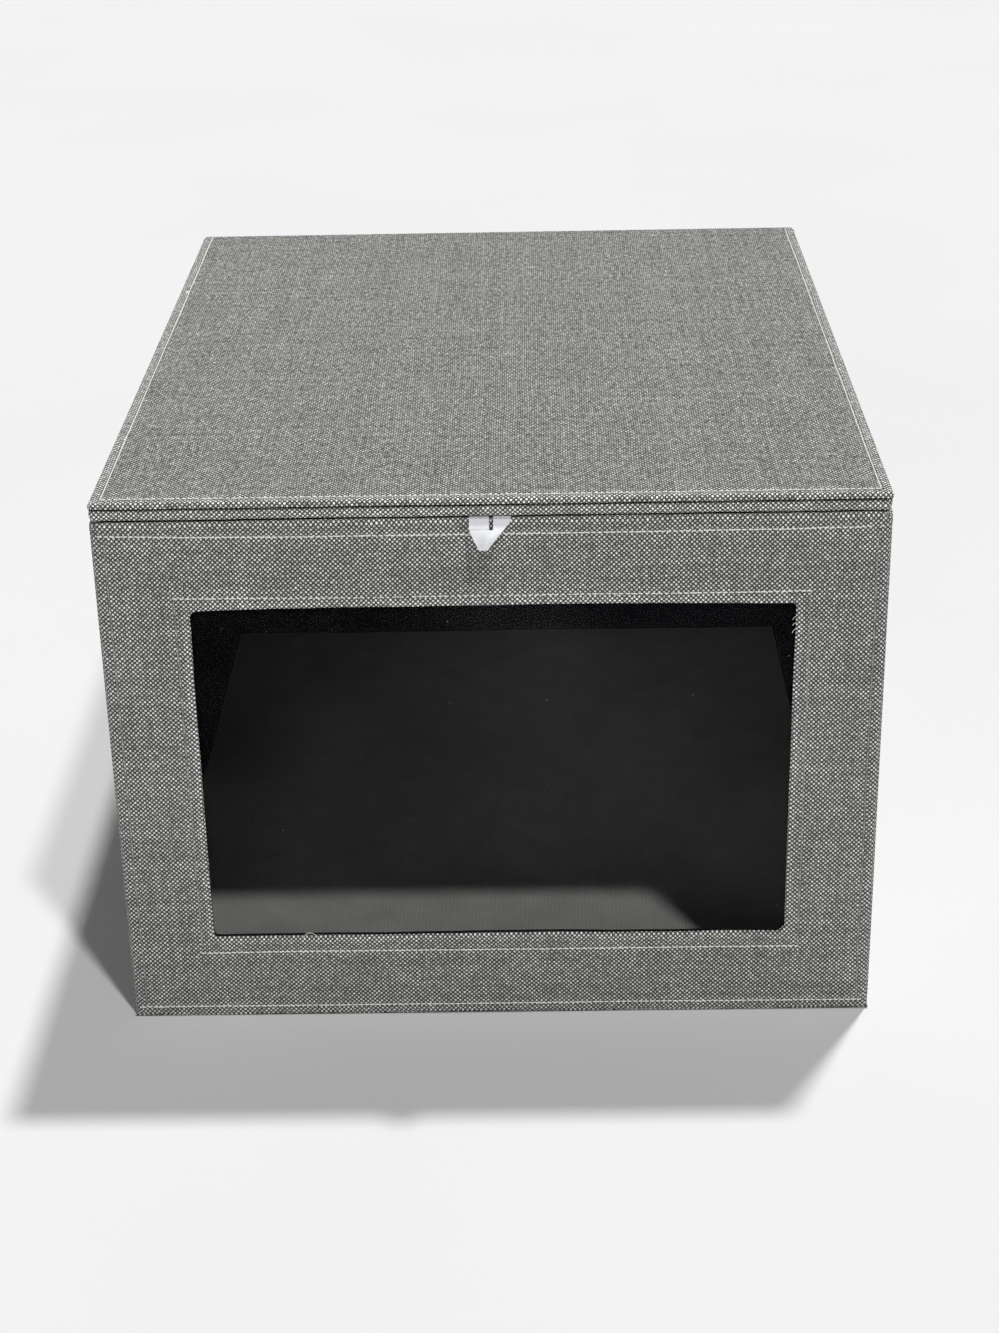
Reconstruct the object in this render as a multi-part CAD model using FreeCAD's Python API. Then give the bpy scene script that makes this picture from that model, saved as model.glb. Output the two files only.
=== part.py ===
import FreeCAD, Part
import os

# A board-stiffened fabric box with a clear window in its front wall, a lid that folds
# back on the cloth of the back wall, a ribbon to lift the lid by, and a loose floor.
# Lengths are in millimetres. X runs left to right, Y front to back and Z up.
# The origin is the centre of the underside, on the surface that the box stands on.

# Overall size of the closed box
BOX_WIDTH = 400.0
BOX_DEPTH = 500.0
BOX_HEIGHT = 300.0

# Thickness of each layer
COVER_THICK = 0.8
LINING_THICK = 0.6
WALL_BOARD_THICK = 3.0
LID_BOARD_THICK = 2.2
INSERT_BOARD_THICK = 2.5
FILM_THICK = 0.4
RIBBON_THICK = 0.4

# Corners and clearances
CORNER_RADIUS = 3.5      # outside radius of the upright edges
BOARD_GAP = 0.5          # between stiffening boards that meet at a fold
LAY_GAP = 0.3            # between cloth that lies on cloth of another body
FOLD_GAP = 0.5           # between the lid's board and the cloth that it folds against
LID_GAP = 0.8            # between the walls' top edges and the lid's rim
INSERT_CLEARANCE = 1.5   # around the loose floor

# Rim under the lid
RIM_HEIGHT = 6.2
RIM_WIDTH = 8.0
RIM_INSET = 1.0          # from the box's outside to the rim's outside
RIM_END_GAP = 1.0        # between the side rims and the back wall

# Window, given by the fabric borders that frame it
WINDOW_SIDE_BORDER = 46.5
WINDOW_SILL = 49.0       # from the underside to the window's lower edge
WINDOW_HEAD = 58.0       # from the lid's top to the window's upper edge
WINDOW_CORNER = 3.0      # radius of the window's corners
WINDOW_HEM = 9.5         # width of the turned-in cloth around the window
WINDOW_BOARD_GAP = 1.5   # from that cloth's edge to the board
FILM_TRIM = 0.5          # from that cloth's edge to the film's edge

# Lines of sewing
THREAD_WIDTH = 0.6
THREAD_RISE = 0.25       # how far a thread stands proud of the cloth
LID_STITCH_INSET = 6.0
HEM_STITCH_DROP = 8.0    # below the walls' top edges
BASE_STITCH_RISE = 5.5
CORNER_STITCH_INSET = 6.8
WINDOW_STITCH_ABOVE = 6.0
WINDOW_STITCH_BELOW = 9.0
WINDOW_STITCH_BESIDE = 7.0
WINDOW_STITCH_OVERRUN = 8.0  # how far the long window lines run past the window
HINGE_STITCH_DROP = 8.0  # below the fold at the top of the back wall
STITCH_END_GAP = 2.0     # from the end of one line of sewing to the next line
BACKTACK_PLACE = 365.0   # from the lid's front edge to the bar tack on its left edge
BACKTACK_LENGTH = 2.4

# Lifting ribbon, folded into a blunt point that hangs a little to the left
TAB_WIDTH = 20.8
TAB_SLOT = 2.1           # gap between the ribbon's two legs
TAB_SLOT_SHIFT = 0.6     # the gap's middle, right of the ribbon's middle
TAB_SLOT_LENGTH = 6.5
TAB_LENGTH = 17.2
TAB_TIP_WIDTH = 4.2
TAB_TIP_SHIFT = -3.3
TAB_LEFT_STRAIGHT = 6.1
TAB_RIGHT_STRAIGHT = 1.7
TAB_LEAN = 42.0          # degrees that the ribbon stands out from hanging straight
TAB_ROOT = 0.5           # from the ribbon's pivot line to its upper edge
TAB_STANDOFF = 0.4       # from the front wall to the pivot line
ANCHOR_DEPTH = 9.0       # length of ribbon sewn under the rim

# Heights and depths that follow from the sizes above
half_width = BOX_WIDTH / 2
half_depth = BOX_DEPTH / 2
wall_thick = COVER_THICK + WALL_BOARD_THICK + LINING_THICK
board_inset = COVER_THICK + WALL_BOARD_THICK
lid_sheet_z = BOX_HEIGHT - COVER_THICK
lid_board_z = lid_sheet_z - LID_BOARD_THICK
lid_underside_z = lid_board_z - LINING_THICK
rim_z = lid_underside_z - RIM_HEIGHT
wall_top_z = rim_z - LID_GAP
wall_board_top_z = wall_top_z - COVER_THICK
back_cover_top_z = lid_sheet_z - LAY_GAP
back_board_top_z = lid_underside_z - FOLD_GAP
lid_back_y = half_depth - COVER_THICK - FOLD_GAP
floor_z = COVER_THICK + LINING_THICK
window_half_width = half_width - WINDOW_SIDE_BORDER
window_low_z = WINDOW_SILL
window_high_z = BOX_HEIGHT - WINDOW_HEAD
window_margin = WINDOW_HEM + WINDOW_BOARD_GAP
sector_depth = RIM_INSET + RIM_WIDTH + CORNER_RADIUS

SIDE_CORNERS = {
    "front": ((-1, -1), (1, -1)),
    "right": ((1, -1), (1, 1)),
    "back": ((1, 1), (-1, 1)),
    "left": ((-1, 1), (-1, -1)),
}


def vector(x, y, z):
    return FreeCAD.Vector(x, y, z)


def block(x0, x1, y0, y1, z0, z1):
    """A box between two opposite corners."""
    return Part.makeBox(x1 - x0, y1 - y0, z1 - z0, vector(x0, y0, z0))


def round_edges(shape, radius, direction):
    """The block with its four edges along direction rounded, or as it is if radius isn't positive."""
    if radius <= 0:
        return shape
    edges = [e for e in shape.Edges if e.tangentAt(e.FirstParameter).cross(direction).Length < 0.5]
    return shape.makeFillet(radius, edges)


def plan_block(inset, z0, z1):
    """A block with the box's outline drawn in by inset, its upright edges rounded to match."""
    x = half_width - inset
    y = half_depth - inset
    return round_edges(block(-x, x, -y, y, z0, z1), CORNER_RADIUS - inset, vector(0, 0, 1))


def plan_ring(outer_inset, inner_inset, z0, z1):
    """A ring between two such outlines."""
    return plan_block(outer_inset, z0, z1).cut(plan_block(inner_inset, z0, z1))


def side_sector(side, z0, z1):
    """The wedge of space that holds one wall, cut off at 45 degrees at both corners."""
    (ax, ay), (bx, by) = SIDE_CORNERS[side]
    outside = -CORNER_RADIUS
    points = [
        vector(sx * (half_width - inset), sy * (half_depth - inset), z0)
        for sx, sy, inset in (
            (ax, ay, outside), (bx, by, outside), (bx, by, sector_depth), (ax, ay, sector_depth),
        )
    ]
    face = Part.Face(Part.makePolygon(points + points[:1]))
    return face.extrude(vector(0, 0, z1 - z0))


def window_block(margin, radius, y0, y1):
    """A block with the window's outline, grown by margin, from y0 to y1."""
    x = window_half_width + margin
    shape = block(-x, x, y0, y1, window_low_z - margin, window_high_z + margin)
    return round_edges(shape, radius, vector(0, 1, 0))


def strand(start, end, outward):
    """A thread from start to end that lies on a surface facing outward."""
    low, high = [], []
    for a, b, out in zip(start, end, outward):
        side = 0.0 if out or a != b else THREAD_WIDTH / 2
        low.append(min(a, b) - side + min(0.0, out * THREAD_RISE))
        high.append(max(a, b) + side + max(0.0, out * THREAD_RISE))
    return block(low[0], high[0], low[1], high[1], low[2], high[2])


def wall_strand(side, along0, along1, z0, z1):
    """A thread on one wall, from along0 to along1 across it and from z0 to z1 up it."""
    if side in ("front", "back"):
        sign = -1 if side == "front" else 1
        y = sign * half_depth
        return strand((along0, y, z0), (along1, y, z1), (0, sign, 0))
    sign = -1 if side == "left" else 1
    x = sign * half_width
    return strand((x, along0, z0), (x, along1, z1), (sign, 0, 0))


def joined(shapes):
    """All the shapes as one, with crossing threads merged."""
    return shapes[0].multiFuse(shapes[1:]).removeSplitter()


# Stiffening boards of the walls

def wall_board(side):
    """A flat board; the front and back ones stand between the two side ones."""
    if side in ("front", "back"):
        x = half_width - board_inset - BOARD_GAP
        top = wall_board_top_z if side == "front" else back_board_top_z
        y_out = half_depth - COVER_THICK
        y_in = half_depth - board_inset
        if side == "front":
            return block(-x, x, -y_out, -y_in, COVER_THICK, top)
        return block(-x, x, y_in, y_out, COVER_THICK, top)
    y = half_depth - CORNER_RADIUS
    x_out = half_width - COVER_THICK
    x_in = half_width - board_inset
    low, high = (-x_out, -x_in) if side == "left" else (x_in, x_out)
    return block(low, high, -y, y, COVER_THICK, wall_board_top_z)


def front_board():
    """The front board, with a cut-out that leaves cloth and film alone round the window."""
    cut = window_block(window_margin, 0, -half_depth, -half_depth + wall_thick)
    return wall_board("front").cut(cut)


# Woven covers of the walls and base

def wall_cover(side):
    """Cloth on the outside of one wall; all but the back turn over the board's top edge."""
    if side == "back":
        shape = plan_ring(0, COVER_THICK, COVER_THICK, back_cover_top_z)
        return shape.common(side_sector(side, COVER_THICK, back_cover_top_z))
    face = plan_ring(0, COVER_THICK, COVER_THICK, wall_top_z)
    turn = plan_ring(COVER_THICK, wall_thick, wall_board_top_z, wall_top_z)
    turn_end_y = half_depth - wall_thick - BOARD_GAP
    turn = turn.cut(block(-half_width, half_width, turn_end_y, half_depth, wall_board_top_z, wall_top_z))
    return face.fuse(turn).removeSplitter().common(side_sector(side, COVER_THICK, wall_top_z))


def front_cover():
    """The front cloth, with the window's opening."""
    opening = window_block(0, WINDOW_CORNER, -half_depth - COVER_THICK, -half_depth + wall_thick)
    return wall_cover("front").cut(opening)


def base_cover():
    return plan_block(0, 0, COVER_THICK)


def base_lining():
    return plan_block(wall_thick, COVER_THICK, floor_z)


# Inner linings of the walls

def wall_lining(side):
    """Cloth on the inside of one wall, up to the turned-over top of the cover."""
    top = back_board_top_z if side == "back" else wall_board_top_z
    ring = plan_ring(board_inset, wall_thick, COVER_THICK, top)
    return ring.common(side_sector(side, COVER_THICK, top))


def front_lining():
    cut = window_block(window_margin, 0, -half_depth, -half_depth + wall_thick + LINING_THICK)
    return wall_lining("front").cut(cut)


# Window: cloth turned in round the opening, clear film behind it, folded tape inside

hem_front_y = -half_depth + COVER_THICK
film_front_y = hem_front_y + COVER_THICK
film_back_y = film_front_y + FILM_THICK
wall_inside_y = -half_depth + wall_thick


def window_hem():
    outer = window_block(WINDOW_HEM, 0, hem_front_y, film_front_y)
    return outer.cut(window_block(0, WINDOW_CORNER, hem_front_y, film_front_y))


def window_film():
    return window_block(WINDOW_HEM - FILM_TRIM, 0, film_front_y, film_back_y)


def window_facing():
    outer = window_block(window_margin - LAY_GAP, 0, film_back_y, wall_inside_y)
    return outer.cut(window_block(0, WINDOW_CORNER, film_back_y, wall_inside_y))


# Lid: a flat panel that folds back along the box's top back edge, with a rim on three sides

def lid_cover():
    """The top cloth, turned down round the front and sides as far as the rim's seam."""
    sheet = plan_block(0, lid_sheet_z, BOX_HEIGHT)
    lips = plan_ring(0, COVER_THICK, lid_underside_z, lid_sheet_z)
    lip_end_y = half_depth - CORNER_RADIUS - FOLD_GAP
    lips = lips.cut(block(-half_width, half_width, lip_end_y, half_depth, lid_underside_z, lid_sheet_z))
    return sheet.fuse(lips).removeSplitter()


def lid_layer(z0, z1):
    """A flat layer of the lid's panel, inside the cover."""
    layer = plan_block(COVER_THICK, z0, z1)
    return layer.cut(block(-half_width, half_width, lid_back_y, half_depth, z0, z1))


def rim_limits(side, z0, z1):
    """The space for one side's rim: a wall's wedge that stops short of the back wall."""
    space = side_sector(side, z0, z1)
    back_y = half_depth - wall_thick - RIM_END_GAP
    beyond = block(-half_width - CORNER_RADIUS, half_width + CORNER_RADIUS, back_y,
                   half_depth + CORNER_RADIUS, z0, z1)
    return space.cut(beyond)


def rim_core(side):
    z0 = rim_z + COVER_THICK
    ring = plan_ring(RIM_INSET + COVER_THICK, RIM_INSET + RIM_WIDTH - COVER_THICK, z0, lid_underside_z)
    return ring.common(rim_limits(side, z0, lid_underside_z))


def rim_cover(side):
    """Cloth round the outside, underside and inside of one rim."""
    ring = plan_ring(RIM_INSET, RIM_INSET + RIM_WIDTH, rim_z, lid_underside_z)
    return ring.common(rim_limits(side, rim_z, lid_underside_z)).cut(rim_core(side))


# Lifting ribbon

pivot_y = -half_depth - TAB_STANDOFF
pivot_z = rim_z - RIBBON_THICK / 2


def ribbon_anchor():
    """The ribbon's two ends, sewn flat under the front rim."""
    front_y = pivot_y + LAY_GAP
    strip = block(-TAB_WIDTH / 2, TAB_WIDTH / 2, front_y, front_y + ANCHOR_DEPTH,
                  rim_z - RIBBON_THICK, rim_z)
    slot_left = TAB_SLOT_SHIFT - TAB_SLOT / 2
    slot = block(slot_left, slot_left + TAB_SLOT, front_y, front_y + ANCHOR_DEPTH,
                 rim_z - RIBBON_THICK, rim_z)
    return strip.cut(slot)


def pull_ribbon():
    """The doubled ribbon, drawn flat below the pivot line and then leaned out from the wall."""
    left, right = -TAB_WIDTH / 2, TAB_WIDTH / 2
    slot_left = TAB_SLOT_SHIFT - TAB_SLOT / 2
    slot_right = TAB_SLOT_SHIFT + TAB_SLOT / 2
    tip_left = TAB_TIP_SHIFT - TAB_TIP_WIDTH / 2
    tip_right = TAB_TIP_SHIFT + TAB_TIP_WIDTH / 2
    outline = [
        (left, TAB_ROOT), (left, TAB_LEFT_STRAIGHT), (tip_left, TAB_LENGTH),
        (tip_right, TAB_LENGTH), (right, TAB_RIGHT_STRAIGHT), (right, TAB_ROOT),
        (slot_right, TAB_ROOT), (slot_right, TAB_SLOT_LENGTH),
        (slot_left, TAB_SLOT_LENGTH), (slot_left, TAB_ROOT),
    ]
    points = [vector(x, pivot_y - RIBBON_THICK, pivot_z - down) for x, down in outline]
    shape = Part.Face(Part.makePolygon(points + points[:1])).extrude(vector(0, 2 * RIBBON_THICK, 0))
    shape.rotate(vector(0, pivot_y, pivot_z), vector(-1, 0, 0), TAB_LEAN)
    return shape


# Loose floor: a stiff board in its own cloth, lifted out to fold the box flat

insert_z = floor_z + LAY_GAP
insert_board_z = insert_z + LINING_THICK
insert_top_z = insert_board_z + INSERT_BOARD_THICK
insert_inset = wall_thick + INSERT_CLEARANCE


def insert_cover():
    """Cloth over the floor board and down round its edges."""
    outer = plan_block(insert_inset, insert_board_z, insert_top_z + LINING_THICK)
    return outer.cut(plan_block(insert_inset + LINING_THICK, insert_board_z, insert_top_z))


def insert_board():
    return plan_block(insert_inset + LINING_THICK, insert_board_z, insert_top_z)


def insert_backing():
    return plan_block(insert_inset, insert_z, insert_board_z)


# Lines of sewing

def lid_stitching():
    """One line along the lid's front and both sides, and a bar tack on the left one."""
    x = half_width - LID_STITCH_INSET
    front_y = -half_depth + LID_STITCH_INSET
    back_y = half_depth - CORNER_RADIUS
    up = (0, 0, 1)
    runs = [strand((-x, front_y, BOX_HEIGHT), (x, front_y, BOX_HEIGHT), up)]
    for side in (-x, x):
        runs.append(strand((side, front_y, BOX_HEIGHT), (side, back_y, BOX_HEIGHT), up))
    tack_y = BACKTACK_PLACE - half_depth
    runs.append(block(-x - BACKTACK_LENGTH, -x, tack_y, tack_y + 2 * THREAD_WIDTH,
                      BOX_HEIGHT, BOX_HEIGHT + THREAD_RISE))
    return joined(runs)


hem_stitch_z = wall_top_z - HEM_STITCH_DROP


def side_span(side):
    """Half of one wall's flat length, between its rounded corners."""
    return (half_width if side in ("front", "back") else half_depth) - CORNER_RADIUS


def hem_stitching():
    return Part.makeCompound([
        wall_strand(side, -side_span(side), side_span(side), hem_stitch_z, hem_stitch_z)
        for side in ("front", "left", "right")
    ])


def base_stitching():
    return Part.makeCompound([
        wall_strand(side, -side_span(side), side_span(side), BASE_STITCH_RISE, BASE_STITCH_RISE)
        for side in SIDE_CORNERS
    ])


def corner_stitching():
    """Upright lines beside each corner of the front and back walls."""
    x = half_width - CORNER_STITCH_INSET
    low = BASE_STITCH_RISE + STITCH_END_GAP
    high = hem_stitch_z - STITCH_END_GAP
    return Part.makeCompound([
        wall_strand(side, across, across, low, high)
        for side in ("front", "back") for across in (-x, x)
    ])


def window_stitching():
    """Two long lines above and below the window, and two upright ones beside it."""
    long_x = window_half_width + WINDOW_STITCH_OVERRUN
    side_x = window_half_width + WINDOW_STITCH_BESIDE
    high = window_high_z + WINDOW_STITCH_ABOVE
    low = window_low_z - WINDOW_STITCH_BELOW
    runs = [wall_strand("front", -long_x, long_x, z, z) for z in (low, high)]
    runs += [wall_strand("front", x, x, low, high) for x in (-side_x, side_x)]
    return joined(runs)


def hinge_stitching():
    z = back_cover_top_z - HINGE_STITCH_DROP
    return wall_strand("back", -side_span("back"), side_span("back"), z, z)


def build():
    """Every sub-part by its node's name."""
    parts = {
        "base_cover": base_cover(),
        "base_lining": base_lining(),
        "front_board": front_board(),
        "front_cover": front_cover(),
        "front_lining": front_lining(),
        "window_hem": window_hem(),
        "window_film": window_film(),
        "window_facing": window_facing(),
        "lid_cover": lid_cover(),
        "lid_board": lid_layer(lid_board_z, lid_sheet_z),
        "lid_lining": lid_layer(lid_underside_z, lid_board_z),
        "ribbon_anchor": ribbon_anchor(),
        "pull_ribbon": pull_ribbon(),
        "insert_cover": insert_cover(),
        "insert_board": insert_board(),
        "insert_backing": insert_backing(),
        "lid_stitching": lid_stitching(),
        "hem_stitching": hem_stitching(),
        "base_stitching": base_stitching(),
        "corner_stitching": corner_stitching(),
        "window_stitching": window_stitching(),
        "hinge_stitching": hinge_stitching(),
    }
    for side in ("back", "left", "right"):
        parts[side + "_board"] = wall_board(side)
        parts[side + "_cover"] = wall_cover(side)
        parts[side + "_lining"] = wall_lining(side)
    for side in ("front", "left", "right"):
        parts["rim_core_" + side] = rim_core(side)
        parts["rim_cover_" + side] = rim_cover(side)
    return parts


os.makedirs("parts", exist_ok=True)
for name, shape in build().items():
    shape.exportStep(os.path.join("parts", name + ".step"))
    sizes = (len(shape.Solids), shape.Volume, "valid" if shape.isValid() else "NOT VALID")
    print("%-18s %2d solids  %12.1f mm3  %s" % (name, *sizes))
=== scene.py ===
import bpy
import math
import numpy as np
from mathutils import Matrix, Vector


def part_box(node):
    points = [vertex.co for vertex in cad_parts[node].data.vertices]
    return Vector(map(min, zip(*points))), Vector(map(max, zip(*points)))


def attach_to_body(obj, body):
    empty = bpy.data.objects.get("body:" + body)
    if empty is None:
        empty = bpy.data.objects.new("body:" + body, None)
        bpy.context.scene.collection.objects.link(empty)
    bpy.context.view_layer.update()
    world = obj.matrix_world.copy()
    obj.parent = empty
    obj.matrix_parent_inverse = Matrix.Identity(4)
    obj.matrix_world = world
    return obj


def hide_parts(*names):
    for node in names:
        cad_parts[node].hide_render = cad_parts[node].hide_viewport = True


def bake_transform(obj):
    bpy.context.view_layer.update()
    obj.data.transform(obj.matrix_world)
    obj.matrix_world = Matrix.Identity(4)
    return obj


# A fabric box with a stiffened lid, a clear front window and a lifting ribbon.
# Lengths are in millimetres until a mesh is made. X runs left to right, Y front to back, Z up.

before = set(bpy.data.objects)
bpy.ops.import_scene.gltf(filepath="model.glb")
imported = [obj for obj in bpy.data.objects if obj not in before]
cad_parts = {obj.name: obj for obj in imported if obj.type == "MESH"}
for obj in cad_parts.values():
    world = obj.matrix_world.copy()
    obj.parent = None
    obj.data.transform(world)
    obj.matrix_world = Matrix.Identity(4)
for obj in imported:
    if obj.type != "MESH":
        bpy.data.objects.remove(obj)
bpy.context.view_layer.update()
MM = 0.001


# Sizes read from the frame

def limits(node):
    """Lowest and highest corners of a frame node, in millimetres."""
    low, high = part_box(node)
    return np.array(low) / MM, np.array(high) / MM


base_high = limits("base_cover")[1]
wall_low, wall_high = limits("left_cover")
hem_low, hem_high = limits("window_hem")
facing_low, facing_high = limits("window_facing")
film_low, film_high = limits("window_film")
rim_low, rim_high = limits("rim_cover_left")
stitch_low, stitch_high = limits("lid_stitching")

HALF_WIDTH = base_high[0]
HALF_DEPTH = base_high[1]
LID_TOP = limits("lid_cover")[1][2]
WALL_TOP = wall_high[2]
WALL_LOW = wall_low[2]
CLOTH = base_high[2]
WALL_THICK = wall_high[0] - wall_low[0]
CORNER = 3.5  # radius of the box's upright corners
CORNER_TURN = math.pi / 4  # each wall's cloth goes half way round a corner
FELT = 0.6  # thickness of the lining cloth

# Window opening and the lines of sewing; a line runs along the middle of its node
WINDOW_HEM = 9.5
WINDOW_HALF = hem_high[0] - WINDOW_HEM
WINDOW_LOW = hem_low[2] + WINDOW_HEM
WINDOW_HIGH = hem_high[2] - WINDOW_HEM
WINDOW_STITCH_ABOVE = 6.0
WINDOW_STITCH_BELOW = 9.0
WINDOW_STITCH_BESIDE = 7.0
WINDOW_STITCH_OVERRUN = 8.0
THREAD_HALF = 0.3
HEM_STITCH = limits("hem_stitching")[0][2] + THREAD_HALF
BASE_STITCH = limits("base_stitching")[0][2] + THREAD_HALF
CORNER_STITCH = limits("corner_stitching")[1][0] - THREAD_HALF
HINGE_STITCH = limits("hinge_stitching")[0][2] + THREAD_HALF
LID_STITCH_X = stitch_high[0] - THREAD_HALF
LID_STITCH_FRONT = stitch_low[1] + THREAD_HALF


# Smooth irregularity for whole arrays

WANDER_CELLS = 61


def wander(x, y, size, seed):
    """Soft noise from -1 to 1 over two arrays of places, with lumps of about the given size."""
    grid = np.random.RandomState(seed).uniform(-1, 1, (WANDER_CELLS, WANDER_CELLS))
    u, v = np.asarray(x, float) / size, np.asarray(y, float) / size
    i, j = np.floor(u).astype(int), np.floor(v).astype(int)
    fu, fv = u - i, v - j
    fu, fv = fu * fu * (3 - 2 * fu), fv * fv * (3 - 2 * fv)

    def corner(di, dj):
        return grid[(i + di) % WANDER_CELLS, (j + dj) % WANDER_CELLS]

    near = corner(0, 0) * (1 - fu) + corner(1, 0) * fu
    far = corner(0, 1) * (1 - fu) + corner(1, 1) * fu
    return near * (1 - fv) + far * fv


def ease(low, high, value):
    """0 below low, 1 above high, smooth between them."""
    share = np.clip((np.asarray(value, float) - low) / (high - low), 0, 1)
    return share * share * (3 - 2 * share)


def follow(places, start, heading, legs):
    """Points at the given distances along a path of legs, each a length and the angle it turns."""
    places = np.asarray(places, float)
    spots = np.zeros(places.shape + (2,))
    point, done = np.array(start, float), 0.0
    for number, (length, turn) in enumerate(legs):
        last = number == len(legs) - 1
        along = np.maximum(places - done, 0)
        if not last:
            along = np.minimum(along, length)
        angle = heading + turn * along / length
        if abs(turn) < 1e-9:
            step = np.stack([np.cos(heading) * along, np.sin(heading) * along], -1)
        else:
            radius = length / turn
            step = radius * np.stack([np.sin(angle) - np.sin(heading),
                                      np.cos(heading) - np.cos(angle)], -1)
        reached = places >= done if number else places == places
        spots[reached] = (point + step)[reached]
        end = heading + turn
        if abs(turn) < 1e-9:
            point = point + length * np.array([math.cos(heading), math.sin(heading)])
        else:
            point = point + length / turn * np.array([math.sin(end) - math.sin(heading),
                                                      math.cos(heading) - math.cos(end)])
        heading, done = end, done + length
    return spots


def spaced(*stops):
    """Places along a line: each stop is a place and the spacing used up to the next one."""
    places = []
    for (start, gap), (end, _) in zip(stops, stops[1:]):
        count = max(1, int(round((end - start) / gap)))
        places.extend(np.linspace(start, end, count + 1)[:-1])
    return np.array(places + [stops[-1][0]])


# Turning grids of points into pieces

def new_piece(name, points, faces, flat=None, sharp=0.9):
    """A smooth mesh from points in millimetres, with its flat cloth places as a UV map in metres."""
    mesh = bpy.data.meshes.new(name)
    mesh.from_pydata((np.asarray(points) * MM).tolist(), [], faces)
    if flat is not None:
        layer = mesh.uv_layers.new(name="cloth")
        corners = np.zeros(len(mesh.loops), int)
        mesh.loops.foreach_get("vertex_index", corners)
        layer.uv.foreach_set("vector", (np.asarray(flat)[corners] * MM).astype(np.float32).ravel())
    mesh.polygons.foreach_set("use_smooth", [True] * len(mesh.polygons))
    mesh.set_sharp_from_angle(angle=sharp)
    mesh.update()
    made = bpy.data.objects.new(name, mesh)
    bpy.context.scene.collection.objects.link(made)
    return made


def grid_faces(count_a, count_b, start=0, loop=False, flip=False):
    """Quads of a grid stored row by row; loop joins the last column to the first."""
    faces = []
    for a in range(count_a - 1):
        for b in range(count_b if loop else count_b - 1):
            c = (b + 1) % count_b
            quad = (start + a * count_b + b, start + (a + 1) * count_b + b,
                    start + (a + 1) * count_b + c, start + a * count_b + c)
            faces.append(quad[::-1] if flip else quad)
    return faces


def grid_normals(outer, loop):
    """Unit normals of a grid of points, pointing out of its face."""
    along_a = np.gradient(outer, axis=0)
    if loop:
        along_b = np.roll(outer, -1, axis=1) - np.roll(outer, 1, axis=1)
    else:
        along_b = np.gradient(outer, axis=1)
    normal = np.cross(along_a, along_b)
    return normal / np.maximum(np.linalg.norm(normal, axis=2, keepdims=True), 1e-9)


def cloth_sheet(name, outer, flat, thick, loop=False, lift=None, wear_and_highlight=None):
    """A thin closed sheet whose outer face is the grid, raised by lift along its normals."""
    count_a, count_b = outer.shape[:2]
    normal = grid_normals(outer, loop)
    if lift is not None:
        outer = outer + normal * lift[..., None]
        normal = grid_normals(outer, loop)
    inner = outer - normal * thick
    total = count_a * count_b
    faces = grid_faces(count_a, count_b, 0, loop)
    faces += grid_faces(count_a, count_b, total, loop, flip=True)
    for b in range(count_b if loop else count_b - 1):
        c = (b + 1) % count_b
        faces.append((b, c, total + c, total + b))
        row = (count_a - 1) * count_b
        faces.append((row + c, row + b, total + row + b, total + row + c))
    if not loop:
        for a in range(count_a - 1):
            low, high = a * count_b, (a + 1) * count_b
            faces.append((high, low, total + low, total + high))
            low, high = low + count_b - 1, high + count_b - 1
            faces.append((low, high, total + high, total + low))
    points = np.concatenate([outer.reshape(-1, 3), inner.reshape(-1, 3)])
    place = np.concatenate([flat.reshape(-1, 2)] * 2)
    piece = new_piece(name, points, faces, place)
    # per-point lightening of folds and rolled edges: partly rubbed wear, partly painted highlight
    if wear_and_highlight is not None:
        rubbed_and_highlight = piece.data.attributes.new("fold_wear_and_highlight", "FLOAT", "POINT")
        rubbed_and_highlight.data.foreach_set("value", np.tile(wear_and_highlight.ravel(), 2).astype(np.float32))
    return piece


def flat_area(flat, loop=False):
    """Area of the cut cloth, in square metres, from its flat places in millimetres."""
    nxt = np.roll(flat, -1, axis=1) if loop else flat[:, 1:]
    own = flat if loop else flat[:, :-1]
    d1 = nxt[1:] - own[:-1]
    d2 = own[1:] - nxt[:-1]
    return float(np.abs(d1[..., 0] * d2[..., 1] - d1[..., 1] * d2[..., 0]).sum() / 2) * MM * MM


def attach(piece, finish, body, nodes=()):
    """A piece's finish, the body it rides on and the frame nodes it stands for."""
    piece.data.materials.clear()
    piece.data.materials.append(finish)
    if body:
        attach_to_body(piece, body)
    if nodes:
        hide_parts(*nodes)
    return piece


def declare(piece, flat, body, finish, nodes, loop=False, cut=None):
    """A sheet of cloth in place with its finish, body and frame nodes; the size and area it was cut to are
    worked out but not kept.
    """
    size = [float(side) for side in (np.ptp(flat.reshape(-1, 2), axis=0) * MM if cut is None else cut)]
    area = size[0] * size[1]
    if cut is None:
        area = min(area, flat_area(flat, loop))
    return attach(piece, finish, body, nodes)


# Shader node helpers

def node(tree, kind, inputs=None, **settings):
    """A shader node with its settings and inputs; an input may be a value or another's output."""
    made = tree.nodes.new("ShaderNode" + kind)
    for key, value in settings.items():
        setattr(made, key, value)
    for key, value in (inputs or {}).items():
        if isinstance(value, bpy.types.NodeSocket):
            tree.links.new(value, made.inputs[key])
        else:
            made.inputs[key].default_value = value
    return made


def maths(tree, operation, *values):
    """The output of a Math node."""
    made = node(tree, "Math", dict(enumerate(values)), operation=operation)
    return made.outputs[0]


def between(tree, value, low, high, to_low=0.0, to_high=1.0):
    """value taken smoothly from one range to another."""
    made = node(tree, "MapRange", {"Value": value, "From Min": low, "From Max": high,
                                   "To Min": to_low, "To Max": to_high},
                interpolation_type="SMOOTHSTEP")
    return made.outputs["Result"]


def blended(tree, share, first, second):
    """A mix of two colours."""
    factor, colour_a, colour_b, mixed = 0, 6, 7, 2  # the colour sockets of a Mix node
    made = node(tree, "Mix", {factor: share, colour_a: first, colour_b: second}, data_type="RGBA")
    return made.outputs[mixed]


def scaled(tree, vector, factor):
    """A vector or colour times a number."""
    return node(tree, "VectorMath", {0: vector, "Scale": factor}, operation="SCALE").outputs[0]


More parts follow.
